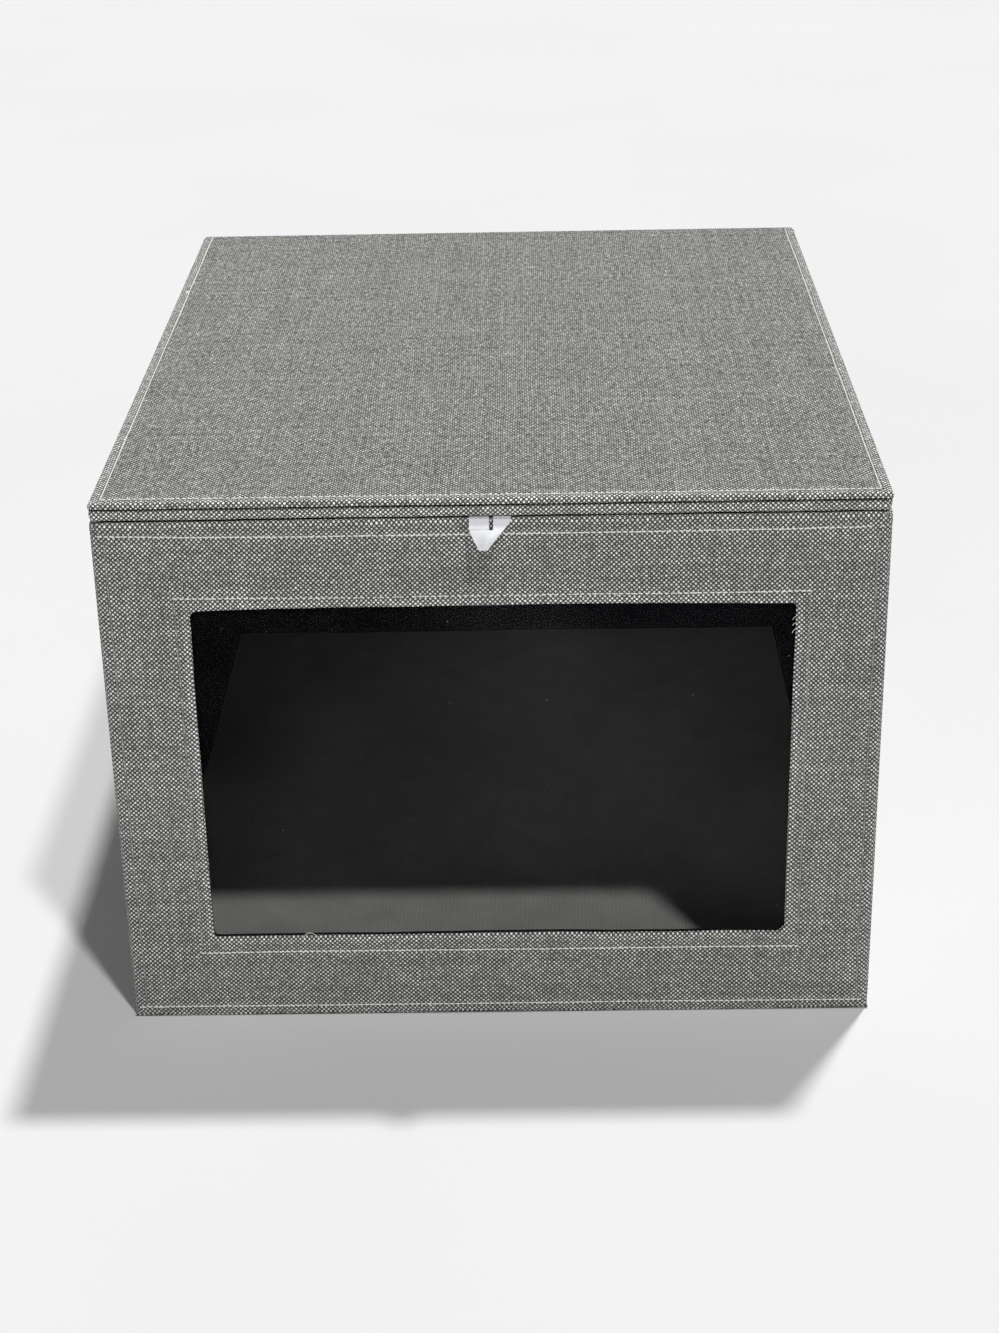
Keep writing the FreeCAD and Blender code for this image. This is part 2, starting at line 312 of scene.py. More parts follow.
def stretched(tree, place, factors):
    """A place with each of its axes scaled by its own factor."""
    return node(tree, "VectorMath", {0: place, 1: factors}, operation="MULTIPLY").outputs[0]


def weighted(tree, start, *parts):
    """start plus a sum of values, each times its own weight."""
    total = start
    for value, weight in parts:
        total = maths(tree, "MULTIPLY_ADD", value, weight, total)
    return total


def noise(tree, place, scale, detail=2.0, rough=0.5):
    """Noise from 0 to 1 at a scale per metre."""
    made = node(tree, "TexNoise", {"Vector": place, "Scale": scale, "Detail": detail,
                                   "Roughness": rough})
    return made.outputs["Fac"]


def colour(red, green, blue):
    """An opaque colour."""
    return (red, green, blue, 1.0)


def new_group(name, inputs, outputs):
    """An empty node group with its named inputs and outputs."""
    tree = bpy.data.node_groups.new(name, "ShaderNodeTree")
    for label, kind, value in inputs:
        socket = tree.interface.new_socket(label, in_out="INPUT", socket_type="NodeSocket" + kind)
        if value is not None:
            socket.default_value = value
    for label, kind in outputs:
        tree.interface.new_socket(label, in_out="OUTPUT", socket_type="NodeSocket" + kind)
    entry = tree.nodes.new("NodeGroupInput")
    leave = tree.nodes.new("NodeGroupOutput")
    return tree, entry.outputs, leave.inputs


def basket_weave():
    """Basket weave of light and dark yarns, with slubs, uneven yarns, slow changes of tone, lighter folds
    that are partly rubbed wear and partly painted highlight, and a faint painted highlight on each dark
    cell's crown.
    """
    tree, given, out = new_group(
        "basket_weave",
        [("Place", "Vector", None), ("Cell", "Float", 0.00125),
         ("Light Yarn", "Color", colour(0.6, 0.58, 0.56)),
         ("Dark Yarn", "Color", colour(0.03, 0.03, 0.028)),
         ("Spot", "Float", 0.21), ("Melange", "Float", 0.3), ("Wear And Highlight", "Float", 0.0)],
        [("Color", "Color"), ("Height", "Float"), ("Roughness", "Float")])
    place = given["Place"]
    drift = node(tree, "TexNoise", {"Vector": place, "Scale": 16.0, "Detail": 1.0})
    shake = node(tree, "TexNoise", {"Vector": place, "Scale": 420.0, "Detail": 1.0})

    def offset(texture, amount):
        centred = node(tree, "VectorMath", {0: texture.outputs["Color"], 1: (0.5, 0.5, 0.5)},
                       operation="SUBTRACT")
        return scaled(tree, centred.outputs[0], amount)

    moved = node(tree, "VectorMath", {0: place, 1: offset(drift, 0.0030)}, operation="ADD")
    moved = node(tree, "VectorMath", {0: moved.outputs[0], 1: offset(shake, 0.0007)},
                 operation="ADD")
    cells = scaled(tree, moved.outputs[0], maths(tree, "DIVIDE", 1.0, given["Cell"]))
    parts = node(tree, "SeparateXYZ", {0: cells})
    across, along = parts.outputs[0], parts.outputs[1]
    column, row = maths(tree, "FLOOR", across), maths(tree, "FLOOR", along)
    parity = maths(tree, "FLOORED_MODULO", maths(tree, "ADD", column, row), 2.0)
    side_a = maths(tree, "SUBTRACT", maths(tree, "SUBTRACT", across, column), 0.5)
    side_b = maths(tree, "SUBTRACT", maths(tree, "SUBTRACT", along, row), 0.5)
    spread = maths(tree, "ADD", maths(tree, "MULTIPLY", side_a, side_a),
                   maths(tree, "MULTIPLY", side_b, side_b))
    dome = between(tree, spread, 0.32, 0.02)
    spot = between(tree, spread, maths(tree, "ADD", given["Spot"], 0.10),
                   maths(tree, "SUBTRACT", given["Spot"], 0.12))
    by_column = node(tree, "TexWhiteNoise", {"W": column}, noise_dimensions="1D").outputs["Value"]
    by_row = node(tree, "TexWhiteNoise", {"W": maths(tree, "ADD", row, 71.5)},
                  noise_dimensions="1D").outputs["Value"]
    cell_name = node(tree, "CombineXYZ", {0: column, 1: row})
    by_cell = node(tree, "TexWhiteNoise", {"Vector": cell_name.outputs[0]},
                   noise_dimensions="2D").outputs["Value"]
    light = maths(tree, "SUBTRACT", 1.0, parity)
    seen = maths(tree, "MULTIPLY", light, spot)
    seen = maths(tree, "MULTIPLY", seen, between(tree, by_cell, 0.0, 1.0, 0.62, 1.0))
    # painted highlight: each dark cell is lightened a little at the crown of its dome
    seen = maths(tree, "MULTIPLY_ADD", parity, maths(tree, "MULTIPLY", dome, 0.05), seen)
    mixed = blended(tree, seen, given["Dark Yarn"], given["Light Yarn"])
    slow = noise(tree, place, 34.0, 3.0, 0.6)
    streak = noise(tree, stretched(tree, place, (14.0, 260.0, 1.0)), 1.0, 2.0)
    tuft = noise(tree, stretched(tree, place, (1.0, 0.55, 1.0)), 380.0, 3.0, 0.62)
    tuft = maths(tree, "SUBTRACT", tuft, 0.5)
    # folds and rolled edges painted lighter: partly rubbed wear, partly painted highlight
    rubbed_and_highlight = maths(tree, "MULTIPLY", given["Wear And Highlight"], between(tree, slow, 0.25, 0.75, 0.75, 1.0))
    even = 1.0 - 0.18 - 0.5 * (0.42 + 0.30)  # keeps the mean shade at one
    shade = weighted(tree, even, (by_column, 0.16), (by_row, 0.20), (slow, 0.42),
                     (streak, 0.30), (tuft, given["Melange"]), (rubbed_and_highlight, 0.42))
    tree.links.new(scaled(tree, mixed, shade), out["Color"])
    fibre = noise(tree, place, 5200.0, 2.0)
    lit_dome = maths(tree, "MULTIPLY", light, dome)
    tree.links.new(weighted(tree, 0.0, (dome, 0.75), (lit_dome, 0.25), (fibre, 0.18)),
                   out["Height"])
    tree.links.new(between(tree, fibre, 0.2, 0.8, 0.78, 0.95), out["Roughness"])
    return tree


def pressed_felt():
    """Thin non-woven cloth: matted fibres with a grid of small pressed dots."""
    tree, given, out = new_group(
        "pressed_felt",
        [("Place", "Vector", None), ("Fibre", "Color", colour(0.08, 0.08, 0.082)),
         ("Dot Spacing", "Float", 0.0022)],
        [("Color", "Color"), ("Height", "Float"), ("Roughness", "Float")])
    place = given["Place"]
    cells = scaled(tree, place, maths(tree, "DIVIDE", 1.0, given["Dot Spacing"]))
    nearest = node(tree, "TexVoronoi", {"Vector": cells, "Scale": 1.0, "Randomness": 0.25},
                   voronoi_dimensions="2D")
    dot = between(tree, nearest.outputs["Distance"], 0.16, 0.30)
    mat = noise(tree, place, 1400.0, 3.0, 0.65)
    cloud = noise(tree, place, 42.0, 2.0)
    shade = weighted(tree, 0.38, (mat, 0.55), (cloud, 0.35), (dot, 0.22))
    tree.links.new(scaled(tree, given["Fibre"], shade), out["Color"])
    tree.links.new(weighted(tree, 0.0, (mat, 0.4), (dot, 0.6)), out["Height"])
    tree.links.new(between(tree, mat, 0.2, 0.8, 0.75, 0.97), out["Roughness"])
    return tree


def lint_specks():
    """A mask of scattered specks of dust and lint, uneven in size."""
    tree, given, out = new_group(
        "lint_specks",
        [("Place", "Vector", None), ("Spacing", "Float", 0.012), ("Size", "Float", 0.05),
         ("Share", "Float", 0.4)],
        [("Mask", "Float")])
    cells = scaled(tree, given["Place"], maths(tree, "DIVIDE", 1.0, given["Spacing"]))
    speck = node(tree, "TexVoronoi", {"Vector": cells, "Scale": 1.0}, voronoi_dimensions="2D")
    chosen = node(tree, "SeparateXYZ", {0: speck.outputs["Color"]})
    size = maths(tree, "MULTIPLY", given["Size"],
                 between(tree, chosen.outputs[1], 0.0, 1.0, 0.35, 1.0))
    inside = maths(tree, "LESS_THAN", speck.outputs["Distance"], size)
    kept = maths(tree, "LESS_THAN", chosen.outputs[0], given["Share"])
    tree.links.new(maths(tree, "MULTIPLY", inside, kept), out["Mask"])
    return tree


weave_group = basket_weave()
felt_group = pressed_felt()
lint_group = lint_specks()


def new_material(name):
    """A material with a Principled shader, and its tree."""
    material = bpy.data.materials.new(name)
    material.use_nodes = True
    tree = material.node_tree
    return material, tree, tree.nodes["Principled BSDF"]


def placed(tree, group, inputs):
    """A node group put into a material with its own values."""
    return node(tree, "Group", inputs, node_tree=group).outputs


def roughened(tree, shader, height, distance, strength=1.0):
    """Bump from a height that feeds the shader's normal."""
    bump = node(tree, "Bump", {"Height": height, "Distance": distance, "Strength": strength})
    tree.links.new(bump.outputs["Normal"], shader.inputs["Normal"])


def cloth_place(tree):
    """Places on the flat cloth, in metres."""
    return node(tree, "UVMap", uv_map="cloth").outputs["UV"]


def woven_finish(name, light, dark, spot, melange):
    """The woven cover, with a little lint and lighter folds that are partly rubbed wear and partly painted
    highlight.
    """
    material, tree, shader = new_material(name)
    place = cloth_place(tree)
    # lighter folds read from the mesh: partly rubbed wear, partly painted highlight
    wear_and_highlight = node(tree, "Attribute", attribute_name="fold_wear_and_highlight").outputs["Fac"]
    weave = placed(tree, weave_group, {"Place": place, "Light Yarn": light, "Dark Yarn": dark,
                                       "Spot": spot, "Melange": melange, "Wear And Highlight": wear_and_highlight})
    specks = placed(tree, lint_group, {"Place": place, "Spacing": 0.021, "Size": 0.020,
                                       "Share": 0.35})
    tinted = blended(tree, specks["Mask"], weave["Color"], colour(0.62, 0.60, 0.57))
    tree.links.new(tinted, shader.inputs["Base Color"])
    tree.links.new(weave["Roughness"], shader.inputs["Roughness"])
    shader.inputs["Specular IOR Level"].default_value = 0.25
    shader.inputs["Sheen Weight"].default_value = 0.08
    shader.inputs["Sheen Roughness"].default_value = 0.5
    roughened(tree, shader, weave["Height"], 0.00035, 0.8)
    return material


def felt_finish(name, fibre):
    """Matt lining cloth in that fibre colour, with a little lint."""
    material, tree, shader = new_material(name)
    felt = placed(tree, felt_group, {"Place": cloth_place(tree), "Fibre": fibre})
    specks = placed(tree, lint_group, {"Place": cloth_place(tree), "Spacing": 0.034,
                                       "Size": 0.014, "Share": 0.3})
    tinted = blended(tree, specks["Mask"], felt["Color"], colour(0.07, 0.07, 0.068))
    tree.links.new(tinted, shader.inputs["Base Color"])
    tree.links.new(felt["Roughness"], shader.inputs["Roughness"])
    shader.inputs["Specular IOR Level"].default_value = 0.0
    roughened(tree, shader, felt["Height"], 0.0001, 0.4)
    return material


def cardboard_finish():
    """Grey-brown board with pulp flecks and faint flute lines."""
    material, tree, shader = new_material("grey_board")
    place = node(tree, "TexCoord").outputs["Object"]
    pulp = noise(tree, place, 900.0, 4.0, 0.7)
    cloud = noise(tree, place, 30.0, 2.0)
    flute = noise(tree, stretched(tree, place, (30.0, 30.0, 700.0)), 1.0, 1.0)
    fleck = between(tree, noise(tree, place, 2600.0, 1.0), 0.66, 0.74)
    base = blended(tree, between(tree, pulp, 0.3, 0.7), colour(0.20, 0.165, 0.125),
                   colour(0.31, 0.26, 0.20))
    base = blended(tree, between(tree, cloud, 0.3, 0.7, 0.0, 0.4), base,
                   colour(0.36, 0.32, 0.26))
    base = blended(tree, maths(tree, "MULTIPLY", fleck, 0.6), base, colour(0.09, 0.075, 0.06))
    tree.links.new(base, shader.inputs["Base Color"])
    tree.links.new(between(tree, pulp, 0.2, 0.8, 0.7, 0.92), shader.inputs["Roughness"])
    roughened(tree, shader, weighted(tree, pulp, (flute, 0.8)), 0.0002)
    return material


def film_finish():
    """Clear film as a thin see-through pane, with faint handling haze and a little dust."""
    material, tree, shader = new_material("clear_film")
    place = cloth_place(tree)
    haze = between(tree, noise(tree, place, 26.0, 4.0, 0.62), 0.35, 0.75)
    smear = between(tree, noise(tree, place, 7.0, 1.0), 0.42, 0.58)
    specks = placed(tree, lint_group, {"Place": place, "Spacing": 0.024, "Size": 0.014,
                                       "Share": 0.30})
    cover = weighted(tree, 0.03, (haze, 0.025), (smear, 0.015), (specks["Mask"], 0.35))
    tint = blended(tree, smear, colour(0.05, 0.05, 0.055), colour(0.08, 0.08, 0.085))
    tint = blended(tree, specks["Mask"], tint, colour(0.42, 0.42, 0.41))
    tree.links.new(tint, shader.inputs["Base Color"])
    tree.links.new(between(tree, haze, 0.0, 1.0, 0.08, 0.16), shader.inputs["Roughness"])
    shader.inputs["Specular IOR Level"].default_value = 0.15
    tree.links.new(cover, shader.inputs["Alpha"])
    return material


def ribbon_finish():
    """White ribbon with fine cross ribs, painted shade in the rib valleys, and a soft sheen."""
    material, tree, shader = new_material("white_ribbon")
    place = cloth_place(tree)
    parts = node(tree, "SeparateXYZ", {0: place})
    rib = maths(tree, "SINE", maths(tree, "MULTIPLY", parts.outputs[1], 2 * math.pi / 0.00055))
    warp = maths(tree, "SINE", maths(tree, "MULTIPLY", parts.outputs[0], 2 * math.pi / 0.0004))
    cloud = noise(tree, place, 190.0, 3.0)
    shade = blended(tree, between(tree, cloud, 0.3, 0.7), colour(0.70, 0.71, 0.74),
                    colour(0.77, 0.78, 0.81))
    # painted shade: the rib valleys are darkened with a bluish grey
    shade = blended(tree, between(tree, rib, -1.0, 0.2, 0.16, 0.0), shade,
                    colour(0.52, 0.53, 0.57))
    tree.links.new(shade, shader.inputs["Base Color"])
    tree.links.new(between(tree, cloud, 0.2, 0.8, 0.42, 0.62), shader.inputs["Roughness"])
    shader.inputs["Sheen Weight"].default_value = 0.2
    roughened(tree, shader, weighted(tree, rib, (warp, 0.35)), 0.00004, 0.6)
    return material


def thread_finish(name, light, dark):
    """Twisted sewing thread, a little uneven along its length, with painted shade in the grooves of its
    twist.
    """
    material, tree, shader = new_material(name)
    place = node(tree, "TexCoord").outputs["Object"]
    twist = node(tree, "TexWave", {"Vector": place, "Scale": 900.0, "Distortion": 1.5},
                 bands_direction="DIAGONAL")
    along = noise(tree, place, 160.0, 2.0)
    # darker where the twist bands or the noise along the thread are low: painted shade in the twist's
    # grooves, and uneven tone along the thread
    shade = blended(tree, maths(tree, "MULTIPLY", twist.outputs["Fac"], along), dark, light)
    tree.links.new(shade, shader.inputs["Base Color"])
    tree.links.new(between(tree, along, 0.2, 0.8, 0.5, 0.8), shader.inputs["Roughness"])
    roughened(tree, shader, twist.outputs["Fac"], 0.00006, 0.7)
    return material


LIGHT_YARN = colour(0.80, 0.79, 0.755)
DARK_YARN = colour(0.026, 0.0255, 0.024)
# woven_cover has larger light spots than woven_lid_cover: the same cloth painted lighter on the walls, rim
# and base, standing in for more light there
woven = woven_finish("woven_cover", LIGHT_YARN, DARK_YARN, 0.245, 0.35)
woven_lid = woven_finish("woven_lid_cover", LIGHT_YARN, DARK_YARN, 0.22, 2.6)
felt_dark = felt_finish("charcoal_lining", colour(0.009, 0.009, 0.012))
felt_floor = felt_finish("floor_lining", colour(0.30, 0.303, 0.288))
board_finish = cardboard_finish()
clear_film = film_finish()
ribbon_cloth = ribbon_finish()
dim_thread = thread_finish("grey_thread", colour(0.42, 0.41, 0.39), colour(0.22, 0.215, 0.205))
pale_thread = thread_finish("pale_thread", colour(0.93, 0.92, 0.89), colour(0.80, 0.79, 0.76))


# Stiffening boards stay as the frame has them, with a finish of their own

for board in ("front_board", "back_board", "left_board", "right_board", "lid_board",
              "insert_board", "rim_core_front", "rim_core_left", "rim_core_right"):
    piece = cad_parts[board]
    piece.data.materials.clear()
    piece.data.materials.append(board_finish)


# Relief of the woven cloth: slow waves, grooves pulled in by sewing, puckers beside them

GROOVE_DEPTH = 0.32
GROOVE_WIDTH = 1.1


def groove(distance, along, seed, depth=GROOVE_DEPTH):
    """How far sewing pulls the cloth in, by distance from the line and place along it."""
    pull = depth * (1 + 0.35 * wander(along, 0 * along, 9.0, seed))
    valley = -pull * np.exp(-(distance / GROOVE_WIDTH) ** 2)
    pucker = 0.07 * wander(along, distance, 4.2, seed + 1) * np.exp(-(distance / 5.0) ** 2)
    return valley + pucker


def wall_relief(side, s, t):
    """Lift of one wall's cloth at flat places across and up it."""
    seed = {"front": 11, "right": 31, "back": 51, "left": 71}[side]
    half = HALF_WIDTH if side in ("front", "back") else HALF_DEPTH
    inside = ease(0, 6, half - 0.75 - np.abs(s))
    lift = inside * (0.28 + 0.22 * wander(s, t, 70.0, seed) + 0.08 * wander(s, t, 21.0, seed + 1))
    lift = lift * ease(0.8, 8, t)
    lift += inside * groove(t - BASE_STITCH, s, seed + 2)
    if side != "back":
        wave = 0.5 * wander(s, 0 * s, 60.0, seed + 3)
        lift += inside * groove(t - HEM_STITCH - wave, s, seed + 4)
        fold = ease(HEM_STITCH + 1, HEM_STITCH + 3.5, t) * ease(WALL_TOP + 3, WALL_TOP - 1, t)
        lift += inside * 0.22 * fold * (1 + 0.4 * wander(s, t, 11.0, seed + 5))
    if side in ("front", "back"):
        reach = ease(BASE_STITCH - 2, BASE_STITCH + 4, t) * ease(HEM_STITCH + 2, HEM_STITCH - 4, t)
        for sign in (-1, 1):
            lift += reach * 0.75 * groove(s - sign * CORNER_STITCH, t, seed + 6 + sign)
    return lift


def wall_surface(side, s, t, top_legs):
    """Points of one wall's outer face: s across it round half of each corner, t up and over its top."""
    long_half, out_half = ((HALF_WIDTH, HALF_DEPTH) if side in ("front", "back")
                           else (HALF_DEPTH, HALF_WIDTH))
    turn = np.maximum(np.abs(s) - (long_half - CORNER), 0) / CORNER
    across = np.where(turn > 0, np.sign(s) * (long_half - CORNER + CORNER * np.sin(turn)), s)
    outward = out_half - CORNER + CORNER * np.cos(turn)
    lean_across, lean_out = np.sign(s) * np.sin(turn), np.cos(turn)
    rise = follow(t - WALL_LOW, (0.0, WALL_LOW), math.pi / 2, top_legs)
    across = across + lean_across * rise[..., 0]
    outward = outward + lean_out * rise[..., 0]
    turned = {
        "front": (across, -outward), "right": (outward, across),
        "back": (-across, outward), "left": (-outward, -across),
    }[side]
    return np.stack([turned[0], turned[1], rise[..., 1]], -1)


TOP_BEND = 1.9
INNER_BEND = 0.9
TOP_SLACK = 0.3  # how far the turned edge lies below the top of its frame node
top_straight = WALL_TOP - TOP_SLACK - TOP_BEND - WALL_LOW
top_flat = WALL_THICK - TOP_BEND - INNER_BEND
TOP_LEGS = [
    (top_straight, 0.0), (TOP_BEND * math.pi / 2, math.pi / 2), (top_flat, 0.0),
    (INNER_BEND * math.pi / 2, math.pi / 2), (0.4, 0.0),
]
top_length = WALL_LOW + sum(length for length, _ in TOP_LEGS)
EDGE_REACH = CORNER * CORNER_TURN


def top_wear_and_highlight(t):
    """Where the turned edge along the top of a wall is painted lighter: partly rubbed wear, partly painted
    highlight.
    """
    return ease(WALL_TOP - 3.0, WALL_TOP - 1.0, t)


def side_wall_cover(side):
    """Woven cloth on a side wall, turned over the board's top edge."""
    half = HALF_DEPTH - CORNER
    s = spaced((-half - EDGE_REACH, 0.45), (-half, 1.2), (-half + 8, 4.5), (half - 8, 1.2),
               (half, 0.45), (half + EDGE_REACH, 0.45))
    t = spaced((WALL_LOW, 0.7), (10, 6), (HEM_STITCH - 5, 0.65), (top_length, 0.6))
    grid_s, grid_t = np.meshgrid(s, t, indexing="ij")
    outer = wall_surface(side, grid_s, grid_t, TOP_LEGS)
    flat = np.stack([grid_s, grid_t], -1)
    piece = cloth_sheet(side + "_cloth", outer, flat, CLOTH, lift=wall_relief(side, grid_s, grid_t),
                        wear_and_highlight=top_wear_and_highlight(grid_t))
    return declare(piece, flat, "box", woven,
                   [side + "_cover"])


# Window outline, anticlockwise from the lower right corner, with uneven corners

CORNER_CUTS = (  # radius, and how far the corner is cut straight instead of round
    (3.8, 0.9), (1.6, 0.1), (4.0, 0.0), (2.3, 0.2),
)
SIDE_STEPS_LONG = 84
SIDE_STEPS_SHORT = 54
CORNER_STEPS = 8


def outline(half, low, high, cuts):
    """Points round a rectangle with those corners, and the outward direction at each."""
    points, outward = [], []
    spots = [(half, low, -math.pi / 2), (half, high, 0.0), (-half, high, math.pi / 2),
             (-half, low, math.pi)]
    steps = (SIDE_STEPS_SHORT, SIDE_STEPS_LONG, SIDE_STEPS_SHORT, SIDE_STEPS_LONG)
    for number, (x, z, start) in enumerate(spots):
        radius, cut = cuts[number]
        sx, sz = math.copysign(1, x), 1 if z == high else -1
        cx, cz = x - sx * radius, z - sz * radius
        first = np.array([math.cos(start), math.sin(start)])
        last = np.array([math.cos(start + math.pi / 2), math.sin(start + math.pi / 2)])
        for share in np.linspace(0, 1, CORNER_STEPS + 1):
            angle = start + share * math.pi / 2
            way = np.array([math.cos(angle), math.sin(angle)])
            straight = first * (1 - share) + last * share
            point = np.array([cx, cz]) + radius * (way * (1 - cut) + straight * cut)
            points.append(point)
            outward.append(way)
        nx, nz, _ = spots[(number + 1) % 4]
        next_radius = cuts[(number + 1) % 4][0]
        begin = points[-1]
        nsx, nsz = math.copysign(1, nx), 1 if nz == high else -1
        if number % 2 == 0:
            end = np.array([nx, nz - nsz * next_radius])
        else:
            end = np.array([nx - nsx * next_radius, nz])
        way = last
        for share in np.linspace(0, 1, steps[number] + 1)[1:-1]:
            points.append(begin * (1 - share) + end * share)
            outward.append(way)
    return np.array(points), np.array(outward)


def bowed(points):
    """The window's outline with its long edges bowed out a little and its sides uneven."""
    x, z = points[:, 0], points[:, 1]
    middle = np.clip(1 - (x / WINDOW_HALF) ** 2, 0, 1)
    upper = ease(WINDOW_HIGH - 8, WINDOW_HIGH, z)
    lower = ease(WINDOW_LOW + 8, WINDOW_LOW, z)
    moved = points.copy()
    moved[:, 1] += upper * (1.3 * middle - 0.4 + 0.25 * wander(x, 0 * x, 38.0, 5))
    moved[:, 1] += lower * (0.5 * middle + 0.3 * wander(x, 0 * x, 31.0, 6))
    beside = ease(WINDOW_HALF - 6, WINDOW_HALF, np.abs(x))
    moved[:, 0] += beside * 0.3 * wander(z, np.sign(x), 33.0, 7)
    return moved


window_points, window_outward = outline(WINDOW_HALF, WINDOW_LOW, WINDOW_HIGH, CORNER_CUTS)
window_points = bowed(window_points)
ROLL = (hem_high[1] + HALF_DEPTH) / 2  # radius of the soft roll at the window's edge


def front_cover():
    """Front cloth with the window cut in it: hem behind, a soft roll at the edge, then the face."""
    end_s = HALF_WIDTH - CORNER + EDGE_REACH
    outer_cuts = ((0.4, 0.0),) * 4
    far_points, _ = outline(end_s, WALL_LOW, top_length, outer_cuts)
    hem = spaced((WINDOW_HEM - ROLL, 2.2), (0, 2.2))
    bend = np.linspace(math.pi, 0, 9)[1:]
    border = WINDOW_LOW - WALL_LOW
    face = spaced((0.5, 0.5), (11.5, 2.2), (border - 15, 0.6), (border, 0.6)) / border
    normal_s = window_outward[:, 0]
    normal_t = window_outward[:, 1]
    # the last list lightens the window's rolled edge and the wall's top edge: partly rubbed wear, partly
    # painted highlight
    rows, flats, lifts, worn_and_highlight = [], [], [], []
    x0, z0 = window_points[:, 0], window_points[:, 1]
    puff = 0.40 + 0.16 * wander(x0 + z0, x0 - z0, 13.0, 21)

    def row(offset, y, gone, lift):
        rows.append(np.stack([x0 + normal_s * offset, y + 0 * x0, z0 + normal_t * offset], -1))
        flats.append(np.stack([x0 - normal_s * gone, z0 - normal_t * gone], -1))
        lifts.append(lift)
        worn_and_highlight.append(np.full(len(x0), 0.9))

    y_back = -HALF_DEPTH + 2 * ROLL
    for place in hem:
        row(ROLL + place, y_back, ROLL * (math.pi - 1) + place, 0 * x0)
    for angle in bend:
        offset = ROLL - ROLL * math.sin(angle)
        row(offset, -HALF_DEPTH + ROLL * (1 - math.cos(angle)), ROLL * (angle - 1), 0 * x0)
        lifts[-1] = puff * (0.5 + 0.5 * math.cos(angle))
    start_s, start_t = x0 + normal_s * ROLL, z0 + normal_t * ROLL
    for share in face:
        s = start_s * (1 - share) + far_points[:, 0] * share
        t = start_t * (1 - share) + far_points[:, 1] * share
        rows.append(wall_surface("front", s, t, TOP_LEGS))
        flats.append(np.stack([s, t], -1))
        lifts.append(front_relief(s, t, share * border, puff))
        worn_and_highlight.append(np.maximum(top_wear_and_highlight(t), 0.9 * float(ease(4.5, 0.5, share * border))))
    outer = np.array(rows)
    flat = np.array(flats)
    piece = cloth_sheet("front_cloth", outer, flat, CLOTH * 0.95, loop=True, lift=np.array(lifts),
                        wear_and_highlight=np.array(worn_and_highlight))
    return declare(piece, flat, "box", woven,
                   ["front_cover", "window_hem"], loop=True)


def front_relief(s, t, away, puff):
    """Lift of the front cloth, with the padded fold round the window."""
    lift = wall_relief("front", s, t)
    above = np.abs(s) - WINDOW_HALF - WINDOW_STITCH_OVERRUN
    long_reach = ease(4, -2, above)
    lift += long_reach * groove(t - WINDOW_HIGH - WINDOW_STITCH_ABOVE, s, 23)
    lift += long_reach * groove(t - WINDOW_LOW + WINDOW_STITCH_BELOW, s, 25, 0.38)
    side_reach = ease(WINDOW_LOW - 12, WINDOW_LOW - 8, t) * ease(WINDOW_HIGH + 9, WINDOW_HIGH + 5, t)
    for sign in (-1, 1):
        line = s - sign * (WINDOW_HALF + WINDOW_STITCH_BESIDE)
        lift += 0.8 * side_reach * groove(line, t, 27 + sign)
    lift += puff * ease(8.0, 1.0, away)
    return lift


# The lid and the back wall are one length of cloth over the fold between them

LID_BEND = 2.0
LID_BEND_TURN = math.radians(112)
FOLD_BEND = 2.2


def edge_roll(past, bend, turn):
    """How far out and down a sheet goes, past the start of a bend, carrying on straight after it."""
    angle = np.minimum(past / bend, turn)
    rest = np.maximum(past - bend * turn, 0)
    out = bend * np.sin(angle) + rest * np.cos(turn)
    down = bend * (1 - np.cos(angle)) + rest * np.sin(turn)
    return out, down


def lid_relief(x, along):
    """Lift of the lid's cloth at places across it and back from its front edge."""
    y = along - HALF_DEPTH
    lift = 0.20 + 0.16 * wander(x, y, 85.0, 91) + 0.06 * wander(x, y, 24.0, 92)
    edge = np.minimum(HALF_WIDTH - np.abs(x), along)
    lift = lift * ease(0.5, 9, edge)
    reach_back = ease(HALF_DEPTH - 1, HALF_DEPTH - 8, y)
    for sign in (-1, 1):
        lift += reach_back * groove(x - sign * LID_STITCH_X, y, 93 + sign, 0.42)
    lift += ease(LID_STITCH_X + 2, LID_STITCH_X - 1, np.abs(x)) * groove(y - LID_STITCH_FRONT, x, 96, 0.45)
    band = ease(5.5, 3.5, edge) * ease(-1, 1.5, edge)
    lift += 0.20 * band * (1 + 0.6 * wander(x + y, x - y, 10.0, 98)) * reach_back
    return lift


